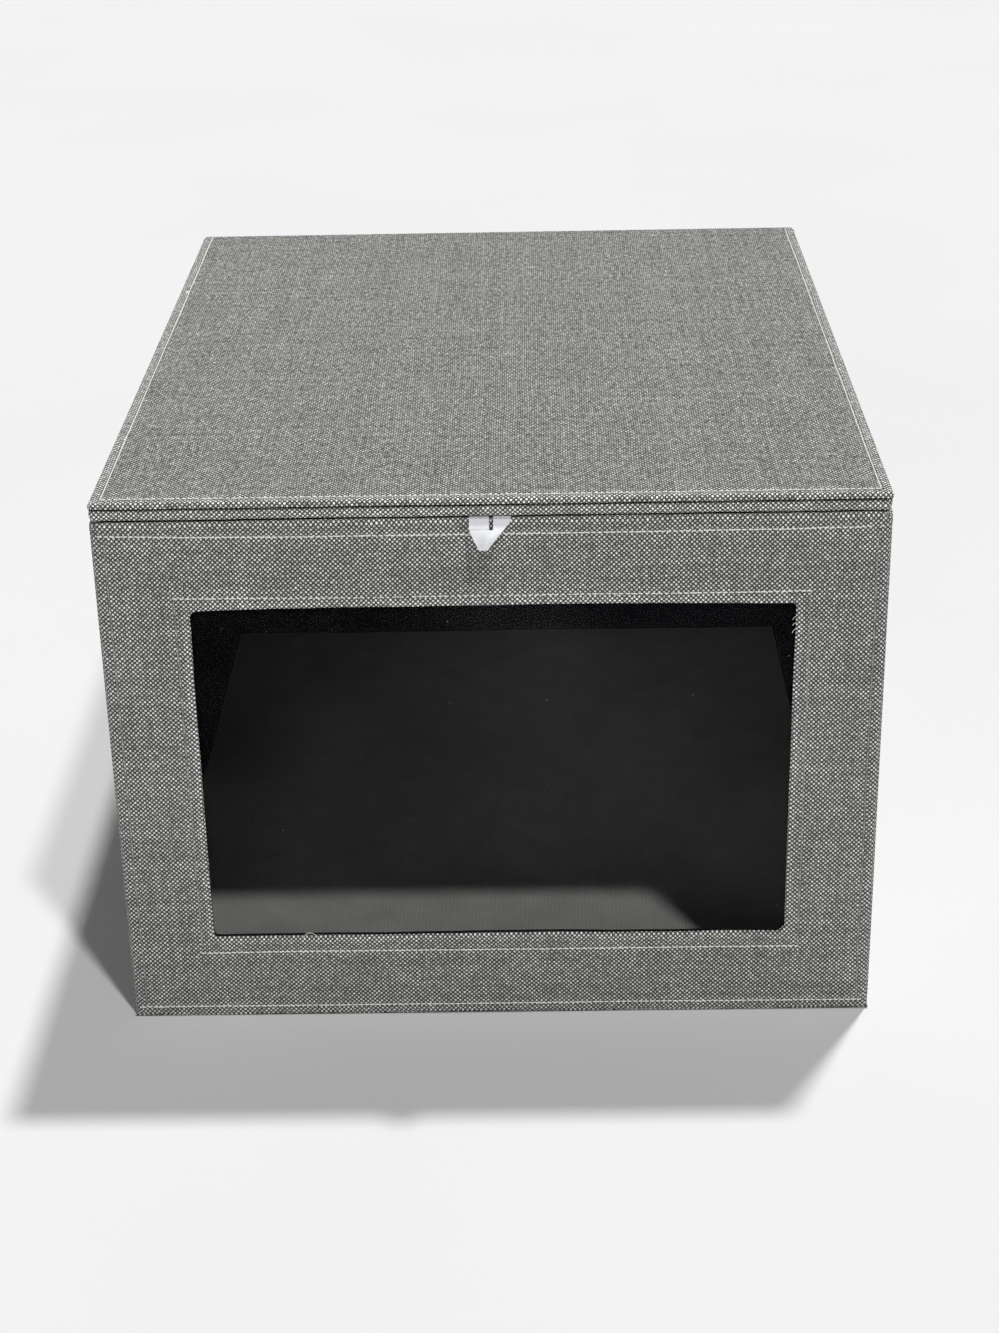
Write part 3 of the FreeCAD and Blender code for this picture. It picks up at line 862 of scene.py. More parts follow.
def lid_and_back_cloth():
    """One cloth from the lid's front lip, over the top and the back fold, to the foot of the back wall."""
    lip = LID_BEND * LID_BEND_TURN
    front_start = -(HALF_DEPTH - LID_BEND)
    fold_start = HALF_DEPTH - FOLD_BEND
    fold_length = FOLD_BEND * math.pi / 2
    back_length = LID_TOP - FOLD_BEND - WALL_LOW
    top_length_y = fold_start - front_start
    fold_end = top_length_y + fold_length
    foot = fold_end + back_length
    w = spaced((-lip, 0.45), (0, 0.6), (8, 5), (top_length_y - 12, 0.9), (top_length_y, 0.4),
               (fold_end, 0.7), (fold_end + 14, 6), (foot - 9, 0.7), (foot, 0.7))
    share = spaced((0, 5.0), (HALF_WIDTH - 16, 0.6), (HALF_WIDTH - LID_BEND, 0.5))
    share = np.concatenate([-share[:0:-1], share]) / (HALF_WIDTH - LID_BEND)
    past = np.linspace(0, 1, 13)[1:]
    column = np.concatenate([-1 - past[::-1], share, 1 + past])
    grid_c, grid_w = np.meshgrid(column, w, indexing="ij")
    on_back = ease(top_length_y - 4, fold_end + 6, grid_w)
    bend = LID_BEND * (1 - on_back) + CORNER * on_back
    turn = LID_BEND_TURN * (1 - on_back) + CORNER_TURN * on_back
    flat_half = HALF_WIDTH - bend
    sign = np.sign(grid_c)
    across = np.clip(grid_c, -1, 1) * flat_half
    past_side = np.maximum(np.abs(grid_c) - 1, 0) * bend * turn
    past_front = np.maximum(-grid_w, 0)
    lip_share = past_side / np.maximum(bend * turn, 1e-9) * lip
    far = np.maximum(lip_share * (grid_w <= 0), past_front)
    smaller = np.minimum(lip_share, past_front) / np.maximum(far, 1e-9)
    fan = np.where(lip_share > past_front, smaller, 2 - smaller) * math.pi / 4
    centre = follow(np.maximum(grid_w, 0), (front_start, LID_TOP), 0.0,
                    [(top_length_y, 0.0), (fold_length, -math.pi / 2), (back_length, 0.0)])
    heading = -np.clip((grid_w - top_length_y) / fold_length, 0, 1) * math.pi / 2
    up_y, up_z = -np.sin(heading), np.cos(heading)
    corner_zone = past_front > 0
    travel = np.where(corner_zone, far, past_side)
    out, down = edge_roll(travel, bend, turn)
    way_x = np.where(corner_zone, np.cos(fan), 1.0)
    way_y = np.where(corner_zone, -np.sin(fan), 0.0)
    outer = np.stack([
        across + sign * way_x * out,
        centre[..., 0] + way_y * out - up_y * down,
        centre[..., 1] - up_z * down,
    ], -1)
    wide = across + sign * past_side
    flat = np.stack([wide, grid_w], -1)
    on_top = ease(top_length_y + 1, top_length_y - 6, grid_w)
    lift = on_top * lid_relief(wide, grid_w + LID_BEND)
    height = outer[..., 2]
    back_lift = wall_relief("back", -wide, np.clip(height, WALL_LOW, None))
    back_lift += groove(height - HINGE_STITCH, wide, 57, 0.4)
    lift += ease(fold_end, fold_end + 5, grid_w) * back_lift
    edge = np.minimum(HALF_WIDTH - np.abs(wide), grid_w + LID_BEND)
    # the lid's edges and the back fold painted lighter: partly rubbed wear, partly painted highlight
    wear_and_highlight = ease(6.0, 4.5, edge) * on_top + 0.6 * np.exp(-((grid_w - top_length_y - 1.5) / 2.5) ** 2)
    piece = cloth_sheet("lid_and_back_cloth", outer, flat, CLOTH * 0.95, lift=lift, wear_and_highlight=wear_and_highlight)
    declare(piece, flat, None, woven_lid,
            ["lid_cover", "back_cover"])
    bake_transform(piece)


# Rim under the lid: a soft roll on three sides, drawn in towards its lower edge

RIM_BOTTOM = rim_low[2]
RIM_BACK = rim_high[1]
RIM_SECTION = (  # inset from the lid's edge, height above the rim's lower edge
    (3.0, 6.0), (1.7, 5.9), (0.85, 5.5), (0.45, 4.7), (0.48, 3.7), (0.64, 2.7),
    (0.90, 1.8), (1.25, 0.9), (1.8, 0.35), (2.8, 0.1), (7.2, 0.1), (8.5, 0.3),
    (9.0, 1.3), (9.0, 3.3), (9.0, 6.1),
)
RIM_PUCKER = 4.0  # how far in from the front corners the rim is gathered


def smoothed(points, rounds=2):
    """A softer line through the points, with its ends kept."""
    line = np.array(points, float)
    for _ in range(rounds):
        near = line[:-1] * 0.75 + line[1:] * 0.25
        far = line[:-1] * 0.25 + line[1:] * 0.75
        cut = np.stack([near, far], 1).reshape(-1, 2)
        line = np.concatenate([line[:1], cut[1:-1], line[-1:]])
    return line


def lid_path(inset):
    """Points along the left side, front and right side of the lid, at an inset from its edge."""
    centre = max(CORNER, inset + 0.15)
    radius = centre - inset
    x, y = HALF_WIDTH - centre, HALF_DEPTH - centre
    side = np.concatenate([[RIM_BACK + 0.2], np.linspace(RIM_BACK, -y, 96)])
    front = np.linspace(-x, x, 90)
    arc = np.linspace(0, math.pi / 2, 9)[1:-1]
    left = [(-x - radius, v) for v in side]
    first = [(-x - radius * math.cos(a), -y - radius * math.sin(a)) for a in arc]
    middle = [(v, -y - radius) for v in front]
    second = [(x + radius * math.sin(a), -y - radius * math.cos(a)) for a in arc]
    right = [(x + radius, v) for v in side[::-1]]
    return np.array(left + first + middle + second + right)


def rim_cloth():
    """Woven cloth round the lid's rim, puckered at the front corners."""
    section = smoothed(RIM_SECTION)
    base = lid_path(0.5)
    travel = np.concatenate([[0], np.cumsum(np.linalg.norm(np.diff(base, axis=0), axis=1))])
    girth = np.concatenate([[0], np.cumsum(np.linalg.norm(np.diff(section, axis=0), axis=1))])
    outer, flat, lift = [], [], []
    corner_near = np.exp(-(((np.abs(base[:, 0]) - HALF_WIDTH + RIM_PUCKER) / 9) ** 2
                           + ((base[:, 1] + HALF_DEPTH - RIM_PUCKER) / 9) ** 2))
    for (inset, height), gone in zip(section, girth):
        path = lid_path(inset)
        heights = np.full(len(path), RIM_BOTTOM + height)
        heights[[0, -1]] = RIM_BOTTOM + section[0][1]  # closes the roll's two back ends
        outer.append(np.column_stack([path, heights]))
        flat.append(np.column_stack([travel, np.full(len(path), -gone)]))
        wave = 0.22 * wander(travel, gone + 0 * travel, 26.0, 101)
        wave += 0.10 * wander(travel, gone + 0 * travel, 6.0, 102)
        pleat = corner_near * 0.45 * wander(travel, gone + 0 * travel, 2.6, 103)
        shown = float(ease(0.5, 2.0, gone) * ease(girth[-1], girth[-1] - 5, gone))
        lift.append(shown * (wave + pleat))
    outer = np.array(outer)
    flat = np.array(flat)
    # the upper part of the rim roll painted lighter: partly rubbed wear, partly painted highlight
    wear_and_highlight = np.repeat(ease(9.0, 5.0, girth)[:, None], outer.shape[1], axis=1)
    piece = cloth_sheet("rim_cloth", outer, flat, CLOTH * 0.9, lift=np.array(lift), wear_and_highlight=wear_and_highlight)
    return declare(piece, flat,
                   "lid", woven,
                   ["rim_cover_front", "rim_cover_left", "rim_cover_right"])


# Flat linings

def lining_panel(name, node_name, facing, body, finish, swell=1.0):
    """A stretched lining whose face looks along facing, a signed axis, with soft waves."""
    low, high = limits(node_name)
    axis = "xyz".index(facing[1])
    sign = 1 if facing[0] == "+" else -1
    first, second = [(1, 2), (2, 0), (0, 1)][axis]
    if sign < 0:
        first, second = second, first
    level = high[axis] if sign > 0 else low[axis]

    def line(index):
        a, b = low[index], high[index]
        return spaced((a, 0.9), (a + 4, 7.5), (b - 4, 0.9), (b, 0.9))

    grid_a, grid_b = np.meshgrid(line(first), line(second), indexing="ij")
    outer = np.zeros(grid_a.shape + (3,))
    outer[..., first], outer[..., second] = grid_a, grid_b
    edge = np.minimum.reduce([grid_a - low[first], high[first] - grid_a,
                              grid_b - low[second], high[second] - grid_b])
    seed = sum(ord(letter) for letter in name)
    wave = 0.25 + 0.25 * wander(grid_a, grid_b, 64.0, seed) + 0.1 * wander(grid_a, grid_b, 17.0, seed + 1)
    height = swell * wave * ease(0.5, 12, edge) - 0.22 * ease(1.8, 0.0, edge)
    outer[..., axis] = level + sign * height
    flat = np.stack([grid_a, grid_b], -1)
    piece = cloth_sheet(name, outer, flat, high[axis] - low[axis])
    return declare(piece, flat, body, finish, [node_name])


TURNED_BEND = 0.5
TURNED_CLEAR = 0.22
BACK_TURN_REACH = WALL_THICK - CLOTH - 0.9  # over the back board, short of its cover
LID_TURN_REACH = 2.3  # up the lid board's back edge


def turned_lining(name, node_name, up, body, edge_reach):
    """A lining that also turns over its board's free back edge, up the back wall or under the lid."""
    low, high = limits(node_name)
    length = high[2] - low[2] if up else high[1] - low[1]
    legs = [(length - TURNED_BEND, 0.0), (TURNED_BEND * math.pi / 2, -math.pi / 2),
            (edge_reach, 0.0)]
    total = sum(part for part, _ in legs)
    across = spaced((low[0], 0.9), (low[0] + 4, 7.5), (high[0] - 4, 0.9), (high[0], 0.9))
    along = spaced((0, 0.9), (4, 7.5), (length - 5, 0.6), (total, 0.4))
    grid_across, grid_along = np.meshgrid(across[::-1], along, indexing="ij")
    line = follow(grid_along, (0.0, 0.0), math.pi / 2, legs)
    wave = 0.18 + 0.18 * wander(grid_across, grid_along, 64.0, 201 if up else 211)
    lift = wave * ease(0.5, 12, grid_along) * ease(length - 2, length - 14, grid_along)
    lift = lift * ease(0.5, 12, np.minimum(grid_across - low[0], high[0] - grid_across))
    if up:
        x = -grid_across
        y = low[1] + line[..., 0]
        z = low[2] + TURNED_CLEAR + line[..., 1]
    else:
        x = grid_across
        y = low[1] + TURNED_CLEAR + line[..., 1]
        z = low[2] + line[..., 0]
    flat = np.stack([x, grid_along], -1)
    piece = cloth_sheet(name, np.stack([x, y, z], -1), flat, FELT - 0.05, lift=lift)
    return declare(piece, flat, body, felt_dark, [node_name])


FLAT_START = 14.0  # flat place of a ring's first edge, out from the window's outline


def ring_sheet(name, section, thick, finish, nodes, far=None, cut=None):
    """A sheet swept round the window: section holds offsets from the opening, depths and flat places."""
    rows, flats = [], []
    x0, z0 = window_points[:, 0], window_points[:, 1]
    for offset, y, gone in section:
        x = x0 + window_outward[:, 0] * offset
        z = z0 + window_outward[:, 1] * offset
        wave = 0.12 * wander(x + z, x - z + gone, 19.0, 141)
        rows.append(np.stack([x, y + wave, z], -1))
        flats.append(np.stack([x0 + window_outward[:, 0] * (FLAT_START + gone),
                               z0 + window_outward[:, 1] * (FLAT_START + gone)], -1))
    if far is not None:
        low, high, depth = far
        far_points, _ = outline(high[0], low[2], high[2], ((0.5, 0.0),) * 4)
        start = np.array(rows[-1])
        for share in np.linspace(0, 1, 9)[1:]:
            x = start[:, 0] * (1 - share) + far_points[:, 0] * share
            z = start[:, 2] * (1 - share) + far_points[:, 1] * share
            rows.append(np.stack([x, depth + 0.2 * wander(x, z, 40.0, 143) * (1 - share), z], -1))
            flats.append(np.stack([x, z], -1))
    outer = np.array(rows)[::-1]
    flat = np.array(flats)[::-1]
    piece = cloth_sheet(name, outer, flat, thick, loop=True)
    return declare(piece, flat, "box", finish, nodes, loop=True, cut=cut)


def window_facing():
    """Tape folded round the inside of the window's edge."""
    y_film, y_room = facing_low[1] + 0.05, facing_high[1]
    width = facing_high[0] - WINDOW_HALF
    roll = (y_room - y_film) / 2
    section = [(width, y_film, 0.0), (width * 0.5, y_film, width * 0.5)]
    gone = width - roll
    for angle in np.linspace(0, math.pi, 9):
        section.append((roll - roll * math.sin(angle), y_film + roll * (1 - math.cos(angle)),
                        gone + roll * angle))
    gone += roll * math.pi
    for place in (0.2, 0.45, 0.7, 0.9, 1.0):
        bulge = 0.25 * math.sin(math.pi * place)
        section.append((roll + (width - roll) * place, y_room + bulge - 0.15 * (place == 1.0),
                        gone + (width - roll) * place))
    steps = np.roll(window_points, -1, axis=0) - window_points
    tape = (section[-1][2] * MM, float(np.linalg.norm(steps, axis=1).sum()) * MM)
    return ring_sheet("window_facing_tape", section, 0.6, felt_dark,
                      ["window_facing"], cut=tape)


def front_lining():
    """Lining on the front wall, cut away round the window."""
    low, high = limits("front_lining")
    start = facing_high[0] - WINDOW_HALF + 0.4
    section = [(start, high[1], 0.0), (start + 1.0, high[1] + 0.2, 1.0)]
    return ring_sheet("front_lining_cloth", section, high[1] - low[1] - 0.05, felt_dark,
                      ["front_lining"], far=(low, high, high[1]))


def window_film():
    """Clear film, held all round and very slightly rippled between."""
    x = spaced((film_low[0], 5.0), (film_high[0], 5.0))
    z = spaced((film_low[2], 5.0), (film_high[2], 5.0))
    grid_z, grid_x = np.meshgrid(z, x, indexing="ij")
    edge = np.minimum.reduce([grid_x - x[0], x[-1] - grid_x, grid_z - z[0], z[-1] - grid_z])
    ripple = 0.55 * wander(grid_x, grid_z, 75.0, 151) + 0.18 * wander(grid_x, grid_z, 26.0, 152)
    y = film_low[1] + ripple * ease(9, 40, edge)
    outer = np.stack([grid_x.T, y.T, grid_z.T], -1)
    flat = np.stack([grid_x.T, grid_z.T], -1)
    piece = cloth_sheet("window_film_sheet", outer, flat, film_high[1] - film_low[1])
    return declare(piece, flat, "box", clear_film, ["window_film"])


def tray_sheet(name, node_name, body, finish):
    """Cloth over a board and down round all four of its edges."""
    low, high = limits(node_name)
    bend, depth = 1.3, high[2] - low[2]
    lip = bend * math.pi / 2 + depth - bend
    start_x, start_y = high[0] - bend, high[1] - bend
    a = spaced((-start_x - lip, 0.6), (-start_x, 1.0), (-start_x + 4, 8.0), (start_x - 4, 1.0),
               (start_x, 0.6), (start_x + lip, 0.6))
    b = spaced((-start_y - lip, 0.6), (-start_y, 1.0), (-start_y + 4, 8.0), (start_y - 4, 1.0),
               (start_y, 0.6), (start_y + lip, 0.6))
    grid_a, grid_b = np.meshgrid(a, b, indexing="ij")
    past_a = np.maximum(np.abs(grid_a) - start_x, 0)
    past_b = np.maximum(np.abs(grid_b) - start_y, 0)
    far = np.maximum(past_a, past_b)
    smaller = np.minimum(past_a, past_b) / np.maximum(far, 1e-9)
    fan = np.where(past_a > past_b, smaller, 2 - smaller) * math.pi / 4
    fan = np.where(past_a + past_b <= 0, 0, fan)
    out, down = edge_roll(far, bend, math.pi / 2)
    outer = np.stack([
        np.clip(grid_a, -start_x, start_x) + np.sign(grid_a) * np.cos(fan) * out * (past_a > 0),
        np.clip(grid_b, -start_y, start_y) + np.sign(grid_b) * np.sin(fan) * out * (past_b > 0),
        high[2] - down,
    ], -1)
    wave = 0.2 * wander(grid_a, grid_b, 80.0, 161) + 0.08 * wander(grid_a, grid_b, 22.0, 162)
    outer[..., 2] += (0.15 + wave) * ease(1, 14, np.minimum(start_x - np.abs(grid_a),
                                                         start_y - np.abs(grid_b)))
    flat = np.stack([grid_a, grid_b], -1)
    piece = cloth_sheet(name, outer, flat, FELT)
    return declare(piece, flat, body, finish, [node_name])


# Sewing: every stitch is a short thread that rises out of the cloth and dips back in

STITCH_LENGTH = 2.9
STITCH_GAP = 0.20
THREAD_RADIUS = 0.42
STITCH_LEVEL = -0.12  # how far a stitch's ends sit below the cloth
STITCH_RISE = 0.30
STITCH_RINGS = 6
STITCH_SIDES = 6


def stitch_mesh(name, runs, body, finish, nodes, seed):
    """Stitches along straight runs: each run is a start, an end and the cloth's outward direction."""
    random = np.random.RandomState(seed)
    points, faces = [], []
    share = np.linspace(0, 1, STITCH_RINGS)
    angles = np.arange(STITCH_SIDES) * 2 * math.pi / STITCH_SIDES
    for start, end, outward in runs:
        start, end, outward = (np.array(v, float) for v in (start, end, outward))
        length = np.linalg.norm(end - start)
        ahead = (end - start) / length
        aside = np.cross(ahead, outward)
        count = max(1, int(length / (STITCH_LENGTH + STITCH_GAP)))
        pitch = length / count
        drift = np.cumsum(random.uniform(-0.05, 0.05, count))
        drift = drift - np.linspace(0, drift[-1], count)
        for number in range(count):
            long = (pitch - STITCH_GAP) * random.uniform(0.93, 1.03)
            middle = start + ahead * pitch * (number + 0.5) + aside * drift[number]
            slant = random.uniform(0.02, 0.10)
            way = ahead + aside * slant
            level = STITCH_LEVEL + random.uniform(-0.05, 0.04)
            first = len(points)
            for u in share:
                hump = math.sin(math.pi * u)
                centre = middle + way * (u - 0.5) * long
                centre = centre + outward * (level + STITCH_RISE * hump ** 0.6)
                radius = THREAD_RADIUS * (0.45 + 0.55 * hump ** 0.5)
                for angle in angles:
                    points.append(centre + radius * (math.cos(angle) * aside
                                                     + math.sin(angle) * outward))
            for a in range(STITCH_RINGS - 1):
                for b in range(STITCH_SIDES):
                    c = (b + 1) % STITCH_SIDES
                    ring, nxt = first + a * STITCH_SIDES, first + (a + 1) * STITCH_SIDES
                    faces.append((ring + b, ring + c, nxt + c, nxt + b))
            faces.append(tuple(range(first + STITCH_SIDES - 1, first - 1, -1)))
            last = first + (STITCH_RINGS - 1) * STITCH_SIDES
            faces.append(tuple(range(last, last + STITCH_SIDES)))
    piece = new_piece(name, points, faces, sharp=1.4)
    return attach(piece, finish, body, nodes)


def wall_run(side, s0, z0, s1, z1):
    """A straight run of sewing on one wall."""
    front = {"front": (0, -1, 0), "right": (1, 0, 0), "back": (0, 1, 0), "left": (-1, 0, 0)}[side]

    def spot(s, z):
        return {"front": (s, -HALF_DEPTH, z), "right": (HALF_WIDTH, s, z),
                "back": (-s, HALF_DEPTH, z), "left": (-HALF_WIDTH, -s, z)}[side]

    return spot(s0, z0), spot(s1, z1), front


def wavy_runs(side, half, z, ends_rise, seed, pieces=9):
    """One long line of sewing in short straight lengths that rise towards the corners."""
    s = np.linspace(-half, half, pieces + 1)
    height = z + ends_rise * np.abs(s / half) ** 6 + 0.3 * wander(s, 0 * s, 60.0, seed)
    return [wall_run(side, s[k], height[k], s[k + 1], height[k + 1]) for k in range(pieces)]


TACK_FROM_FRONT = 365.0
TACK_ROWS = 4
TACK_PITCH = 0.4


def all_sewing():
    """Every line of sewing on the box and the lid, and the bar tack on the lid's left edge."""
    wide, deep = HALF_WIDTH - CORNER, HALF_DEPTH - CORNER
    hem = (wavy_runs("front", wide, HEM_STITCH, 1.4, 14) + wavy_runs("right", deep, HEM_STITCH, 0.8, 34)
           + wavy_runs("left", deep, HEM_STITCH, 0.8, 74))
    stitch_mesh("hem_thread", hem, "box", pale_thread, ["hem_stitching"], 1)
    base = []
    for side, half in (("front", wide), ("right", deep), ("back", wide), ("left", deep)):
        base += wavy_runs(side, half, BASE_STITCH, 0.0, 16)
    stitch_mesh("base_thread", base, "box", pale_thread, ["base_stitching"], 2)
    corners = []
    for side in ("front", "back"):
        for sign in (-1, 1):
            x = sign * CORNER_STITCH
            corners.append(wall_run(side, x, BASE_STITCH + 2, x, HEM_STITCH - 2))
    stitch_mesh("corner_thread", corners, "box", dim_thread, ["corner_stitching"], 3)
    long_x = WINDOW_HALF + WINDOW_STITCH_OVERRUN
    high, low = WINDOW_HIGH + WINDOW_STITCH_ABOVE, WINDOW_LOW - WINDOW_STITCH_BELOW
    window = wavy_runs("front", long_x, high, 0.5, 18) + wavy_runs("front", long_x, low, -0.4, 19)
    beside = [wall_run("front", x, low, x, high)
              for x in (-WINDOW_HALF - WINDOW_STITCH_BESIDE, WINDOW_HALF + WINDOW_STITCH_BESIDE)]
    stitch_mesh("window_thread", window, "box", pale_thread, ["window_stitching"], 4)
    stitch_mesh("window_side_thread", beside, "box", dim_thread, [], 7)
    hinge = [wall_run("back", -wide, HINGE_STITCH, wide, HINGE_STITCH)]
    stitch_mesh("hinge_thread", hinge, "box", pale_thread, ["hinge_stitching"], 5)
    x, y, z = LID_STITCH_X, LID_STITCH_FRONT, LID_TOP + 0.05
    up = (0, 0, 1)
    top = [((-x, y, z), (x, y, z), up), ((-x, y, z), (-x, deep, z), up),
           ((x, y, z), (x, deep, z), up)]
    for number in range(TACK_ROWS):
        place = TACK_FROM_FRONT - HALF_DEPTH + number * TACK_PITCH
        top.append(((-x - 2.4, place, z + 0.15), (-x + 0.2, place, z + 0.15), up))
    stitch_mesh("lid_thread", top, "lid", pale_thread, ["lid_stitching"], 6)


# Lifting ribbon: two legs that fold into one blunt point, and its sewn-down tails

anchor_low, anchor_high = limits("ribbon_anchor")
TAB_LEAN = math.radians(42.0)
PIVOT_Y = -HALF_DEPTH - 0.4
PIVOT_Z = RIM_BOTTOM - 0.2
TAB_HALF = limits("pull_ribbon")[1][0]
TAB_LEFT_STRAIGHT = 6.1
TAB_RIGHT_STRAIGHT = 1.7
TAB_SLOT_LEFT = -0.45
TAB_SLOT_RIGHT = 1.65
TAB_SLOT_LENGTH = 6.5
TAB_LENGTH = 17.2
TAB_TIP_LEFT = -5.4
TAB_TIP_RIGHT = -1.2
TAB_THICK = 0.75
TAIL_THICK = 0.36


def ribbon_face(left, right, fold, columns=9):
    """Flat places and proud heights of one leg, from the root to the tip."""
    down = spaced((0.4, 0.4), (TAB_LENGTH, 0.4))
    share = np.linspace(0, 1, columns)
    grid_share, grid_down = np.meshgrid(share, down, indexing="ij")
    x = left(grid_down) * (1 - grid_share) + right(grid_down) * grid_share
    lower = ease(TAB_SLOT_LENGTH - 2.0, TAB_LENGTH - 5.0, grid_down)
    beside = np.abs(x - fold(grid_down)) / (2.1 + 0.56 * (TAB_LENGTH - grid_down))
    tip = ease(TAB_LENGTH - 4.0, TAB_LENGTH, grid_down)
    proud = (2.4 - 1.2 * tip) * lower * (1 - np.sqrt(beside ** 2 + 0.03))
    proud = proud + 0.10 * wander(x, grid_down, 4.0, 171)
    return x, grid_down, proud


def pull_ribbon():
    """The hanging loop of ribbon, folded to a point and leaning out from the wall."""

    def outer_left(down):
        fall = np.clip((down - TAB_LEFT_STRAIGHT) / (TAB_LENGTH - TAB_LEFT_STRAIGHT), 0, 1)
        return -TAB_HALF + (TAB_TIP_LEFT + TAB_HALF) * fall ** 1.08

    def outer_right(down):
        fall = np.clip((down - TAB_RIGHT_STRAIGHT) / (TAB_LENGTH - TAB_RIGHT_STRAIGHT), 0, 1)
        return TAB_HALF + (TAB_TIP_RIGHT - TAB_HALF) * fall

    def ridge_line(down):
        lower = np.clip((down - TAB_SLOT_LENGTH) / (TAB_LENGTH - TAB_SLOT_LENGTH), 0, 1)
        return 0.6 + (TAB_TIP_LEFT / 2 + TAB_TIP_RIGHT / 2 - 0.6) * lower

    def slot_left(down):
        return np.where(down < TAB_SLOT_LENGTH, TAB_SLOT_LEFT, ridge_line(down) - 0.02)

    def slot_right(down):
        return np.where(down < TAB_SLOT_LENGTH, TAB_SLOT_RIGHT, ridge_line(down) + 0.02)

    for name, left, right in (("left", outer_left, slot_left), ("right", slot_right, outer_right)):
        x, down, proud = ribbon_face(left, right, ridge_line)
        if name == "left":
            crease = np.exp(-((down - TAB_SLOT_LENGTH) / 0.35) ** 2)
            proud = proud - 0.16 * crease + 0.22 * ease(TAB_SLOT_LENGTH, TAB_SLOT_LENGTH - 0.6, down)
        else:
            proud = proud - 0.25 * ease(0, TAB_HALF, x)
        face = -TAB_THICK / 2 - np.clip(proud, -0.3, 2.6)
        y = PIVOT_Y + face * math.cos(TAB_LEAN) - down * math.sin(TAB_LEAN)
        z = PIVOT_Z - down * math.cos(TAB_LEAN) - face * math.sin(TAB_LEAN)
        outer = np.stack([x, y, z], -1)[:, ::-1]
        flat = np.stack([x, -down], -1)[:, ::-1]
        piece = cloth_sheet("pull_ribbon_" + name, outer, flat, TAB_THICK)
        nodes = ["pull_ribbon"] if name == "left" else []
        declare(piece, flat, "ribbon", ribbon_cloth, nodes)


def ribbon_tails():
    """The ribbon's two ends under the front rim."""
    for name, low_x, high_x in (("left", -TAB_HALF, TAB_SLOT_LEFT), ("right", TAB_SLOT_RIGHT, TAB_HALF)):
        x = np.linspace(low_x, high_x, 10)
        y = np.linspace(anchor_low[1], anchor_high[1], 14)
        grid_y, grid_x = np.meshgrid(y, x, indexing="ij")
        z = anchor_low[2] + 0.05 * wander(grid_x, grid_y, 3.0, 181)
        outer = np.stack([grid_x, grid_y, z], -1)
        flat = np.stack([grid_x, grid_y], -1)
        piece = cloth_sheet("ribbon_tail_" + name, outer, flat, TAIL_THICK)
        attach(piece, ribbon_cloth, "lid", ["ribbon_anchor"] if name == "left" else [])


# Loose threads

def loose_thread(name, route, radius, body, finish):
    """A free end of sewing thread along a smooth route, as a mesh."""
    curve = bpy.data.curves.new(name, "CURVE")
    curve.dimensions = "3D"
    curve.bevel_depth = radius * MM
    curve.bevel_resolution = 2
    curve.resolution_u = 8
    spline = curve.splines.new("NURBS")
    spline.points.add(len(route) - 1)
    for point, spot in zip(spline.points, route):
        point.co = (*(np.array(spot) * MM), 1.0)
    spline.order_u = 4
    spline.use_endpoint_u = True
    holder = bpy.data.objects.new(name + "_route", curve)
    bpy.context.scene.collection.objects.link(holder)
    bpy.context.view_layer.update()
    shaped = holder.evaluated_get(bpy.context.evaluated_depsgraph_get())
    mesh = bpy.data.meshes.new_from_object(shaped)
    bpy.data.objects.remove(holder)
    made = bpy.data.objects.new(name, mesh)
    bpy.context.scene.collection.objects.link(made)
    mesh.polygons.foreach_set("use_smooth", [True] * len(mesh.polygons))
    return attach(made, finish, body)


def loose_ends():
    """A loop of thread at the window's lower edge, and frayed yarns beside its upper right corner."""
    y = -HALF_DEPTH
    low = WINDOW_LOW + 0.6
    loose_thread("window_thread_end", [
        (-105.5, y - 0.4, low - 1.6), (-104.6, y - 1.0, low + 1.6), (-102.2, y - 1.3, low + 3.0),
        (-99.4, y - 1.2, low + 2.2), (-97.6, y - 0.8, low - 0.2), (-96.2, y - 0.3, low - 2.0),
    ], 0.16, "box", pale_thread)
    right = WINDOW_HALF
    for number, (below, long) in enumerate(((7.5, 2.6), (11.1, 2.2), (14.4, 3.0))):
        z = WINDOW_HIGH - below
        loose_thread("frayed_yarn_%d" % number, [
            (right + 0.6, y + 0.1, z), (right - 0.5, y + 0.3, z - 0.2 * long),
            (right - 1.3, y + 0.6, z - 0.6 * long), (right - 1.5, y + 0.9, z - long),
        ], 0.14, "box", pale_thread)


side_wall_cover("left")
side_wall_cover("right")
front_cover()
lid_and_back_cloth()
rim_cloth()
lining_panel("base_cloth", "base_cover", "-z", "box", woven, swell=0.0)
lining_panel("base_lining_cloth", "base_lining", "+z", "box", felt_dark)
lining_panel("left_lining_cloth", "left_lining", "+x", "box", felt_dark)
lining_panel("right_lining_cloth", "right_lining", "-x", "box", felt_dark)
turned_lining("back_lining_cloth", "back_lining", True, "box", BACK_TURN_REACH)
turned_lining("lid_lining_cloth", "lid_lining", False, "lid", LID_TURN_REACH)
lining_panel("insert_backing_cloth", "insert_backing", "-z", "floor", felt_dark)
tray_sheet("insert_cloth", "insert_cover", "floor", felt_floor)
front_lining()
window_facing()
window_film()
all_sewing()
pull_ribbon()
ribbon_tails()
loose_ends()


# Floor, light and camera

FLOOR_LEVEL = -0.0006  # just under the base, so the two faces never meet


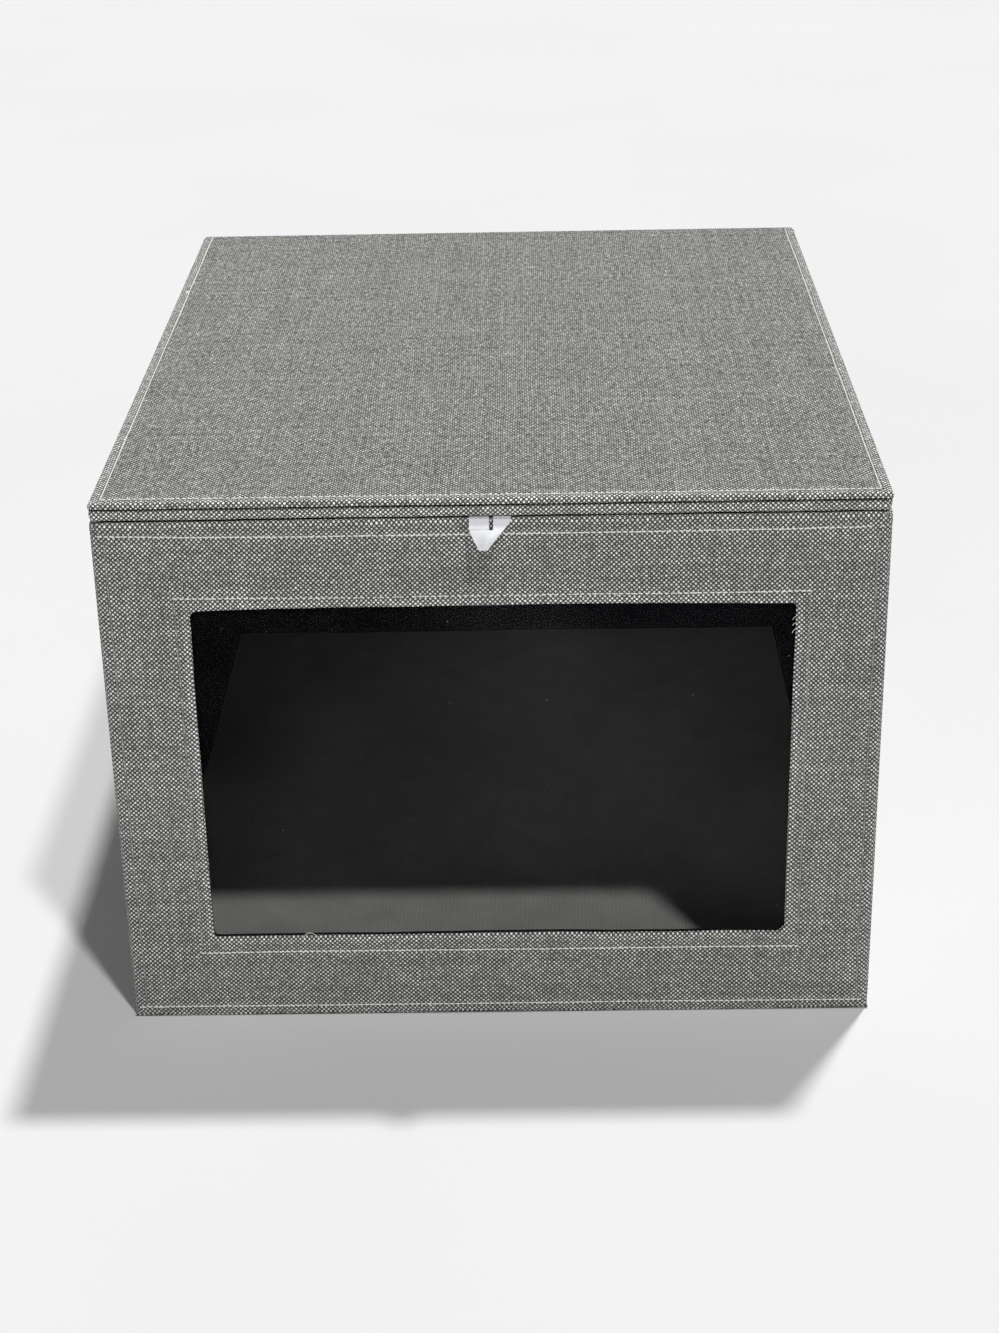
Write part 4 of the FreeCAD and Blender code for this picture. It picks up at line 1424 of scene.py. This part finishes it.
def pale_floor():
    """A wide pale floor with a faint fine texture."""
    material, tree, shader = new_material("pale_floor")
    place = node(tree, "TexCoord").outputs["Object"]
    cloud = noise(tree, place, 2.2, 2.0)
    shade = blended(tree, between(tree, cloud, 0.3, 0.7), colour(0.755, 0.755, 0.76),
                    colour(0.77, 0.77, 0.775))
    tree.links.new(shade, shader.inputs["Base Color"])
    shader.inputs["Roughness"].default_value = 0.9
    shader.inputs["Specular IOR Level"].default_value = 0.1
    mesh = bpy.data.meshes.new("floor_plane")
    count, reach = 64, 14.0
    rim = [(reach * math.cos(a), reach * math.sin(a), FLOOR_LEVEL)
           for a in np.linspace(0, 2 * math.pi, count + 1)[:-1]]
    mesh.from_pydata(rim, [], [tuple(range(count))])
    plane = bpy.data.objects.new("floor_plane", mesh)
    bpy.context.scene.collection.objects.link(plane)
    mesh.materials.append(material)


def lamp(name, azimuth, elevation, strength, softness):
    """A sun at that bearing from the front and height above the ground, and its width, in degrees."""
    data = bpy.data.lights.new(name, "SUN")
    data.energy = strength
    data.angle = math.radians(softness)
    made = bpy.data.objects.new(name, data)
    a, e = math.radians(azimuth), math.radians(elevation)
    towards = Vector((math.sin(a) * math.cos(e), -math.cos(a) * math.cos(e), math.sin(e)))
    made.rotation_mode = "QUATERNION"
    made.rotation_quaternion = towards.to_track_quat("Z", "Y")
    bpy.context.scene.collection.objects.link(made)


def studio():
    """A pale surround that adds little light of its own, the floor and three lamps."""
    world = bpy.data.worlds.new("studio_world")
    bpy.context.scene.world = world
    world.use_nodes = True
    tree = world.node_tree
    tree.nodes.clear()
    path = node(tree, "LightPath")
    seen = maths(tree, "MAXIMUM", path.outputs["Is Camera Ray"], path.outputs["Is Glossy Ray"])
    seen = maths(tree, "MAXIMUM", seen, path.outputs["Is Transmission Ray"])
    soft = node(tree, "Background", {"Color": colour(0.96, 0.98, 1.0), "Strength": 0.09})
    shown = node(tree, "Background", {"Color": colour(0.88, 0.885, 0.90), "Strength": 1.0})
    both = node(tree, "MixShader", {0: seen, 1: soft.outputs[0], 2: shown.outputs[0]})
    out = tree.nodes.new("ShaderNodeOutputWorld")
    tree.links.new(both.outputs[0], out.inputs["Surface"])
    pale_floor()
    lamp("overhead_light", 152.0, 70.0, 2.20, 3.5)
    lamp("key_light", 30.0, 60.0, 1.36, 3.5)
    lamp("front_light", -8.0, 4.0, 1.18, 50.0)


CAMERA_PLACE = (0.022727, -1.375640, 0.738395)
CAMERA_FORWARD = Vector((-0.01566002, 0.9046297, -0.42591064))
CAMERA_UP = Vector((0.01373838, 0.42611734, 0.90456358))


def camera():
    """The camera, in front of the box and above it."""
    data = bpy.data.cameras.new("camera")
    data.lens = 65.85
    data.sensor_width = 36.0
    data.clip_end = 60.0
    made = bpy.data.objects.new("camera", data)
    bpy.context.scene.collection.objects.link(made)
    back = -CAMERA_FORWARD.normalized()
    right = CAMERA_UP.cross(back).normalized()
    up = back.cross(right)
    turn = Matrix((right, up, back)).transposed()
    made.matrix_world = Matrix.Translation(CAMERA_PLACE) @ turn.to_4x4()
    bpy.context.scene.camera = made


studio()
camera()
bpy.context.scene.view_settings.view_transform = "Standard"
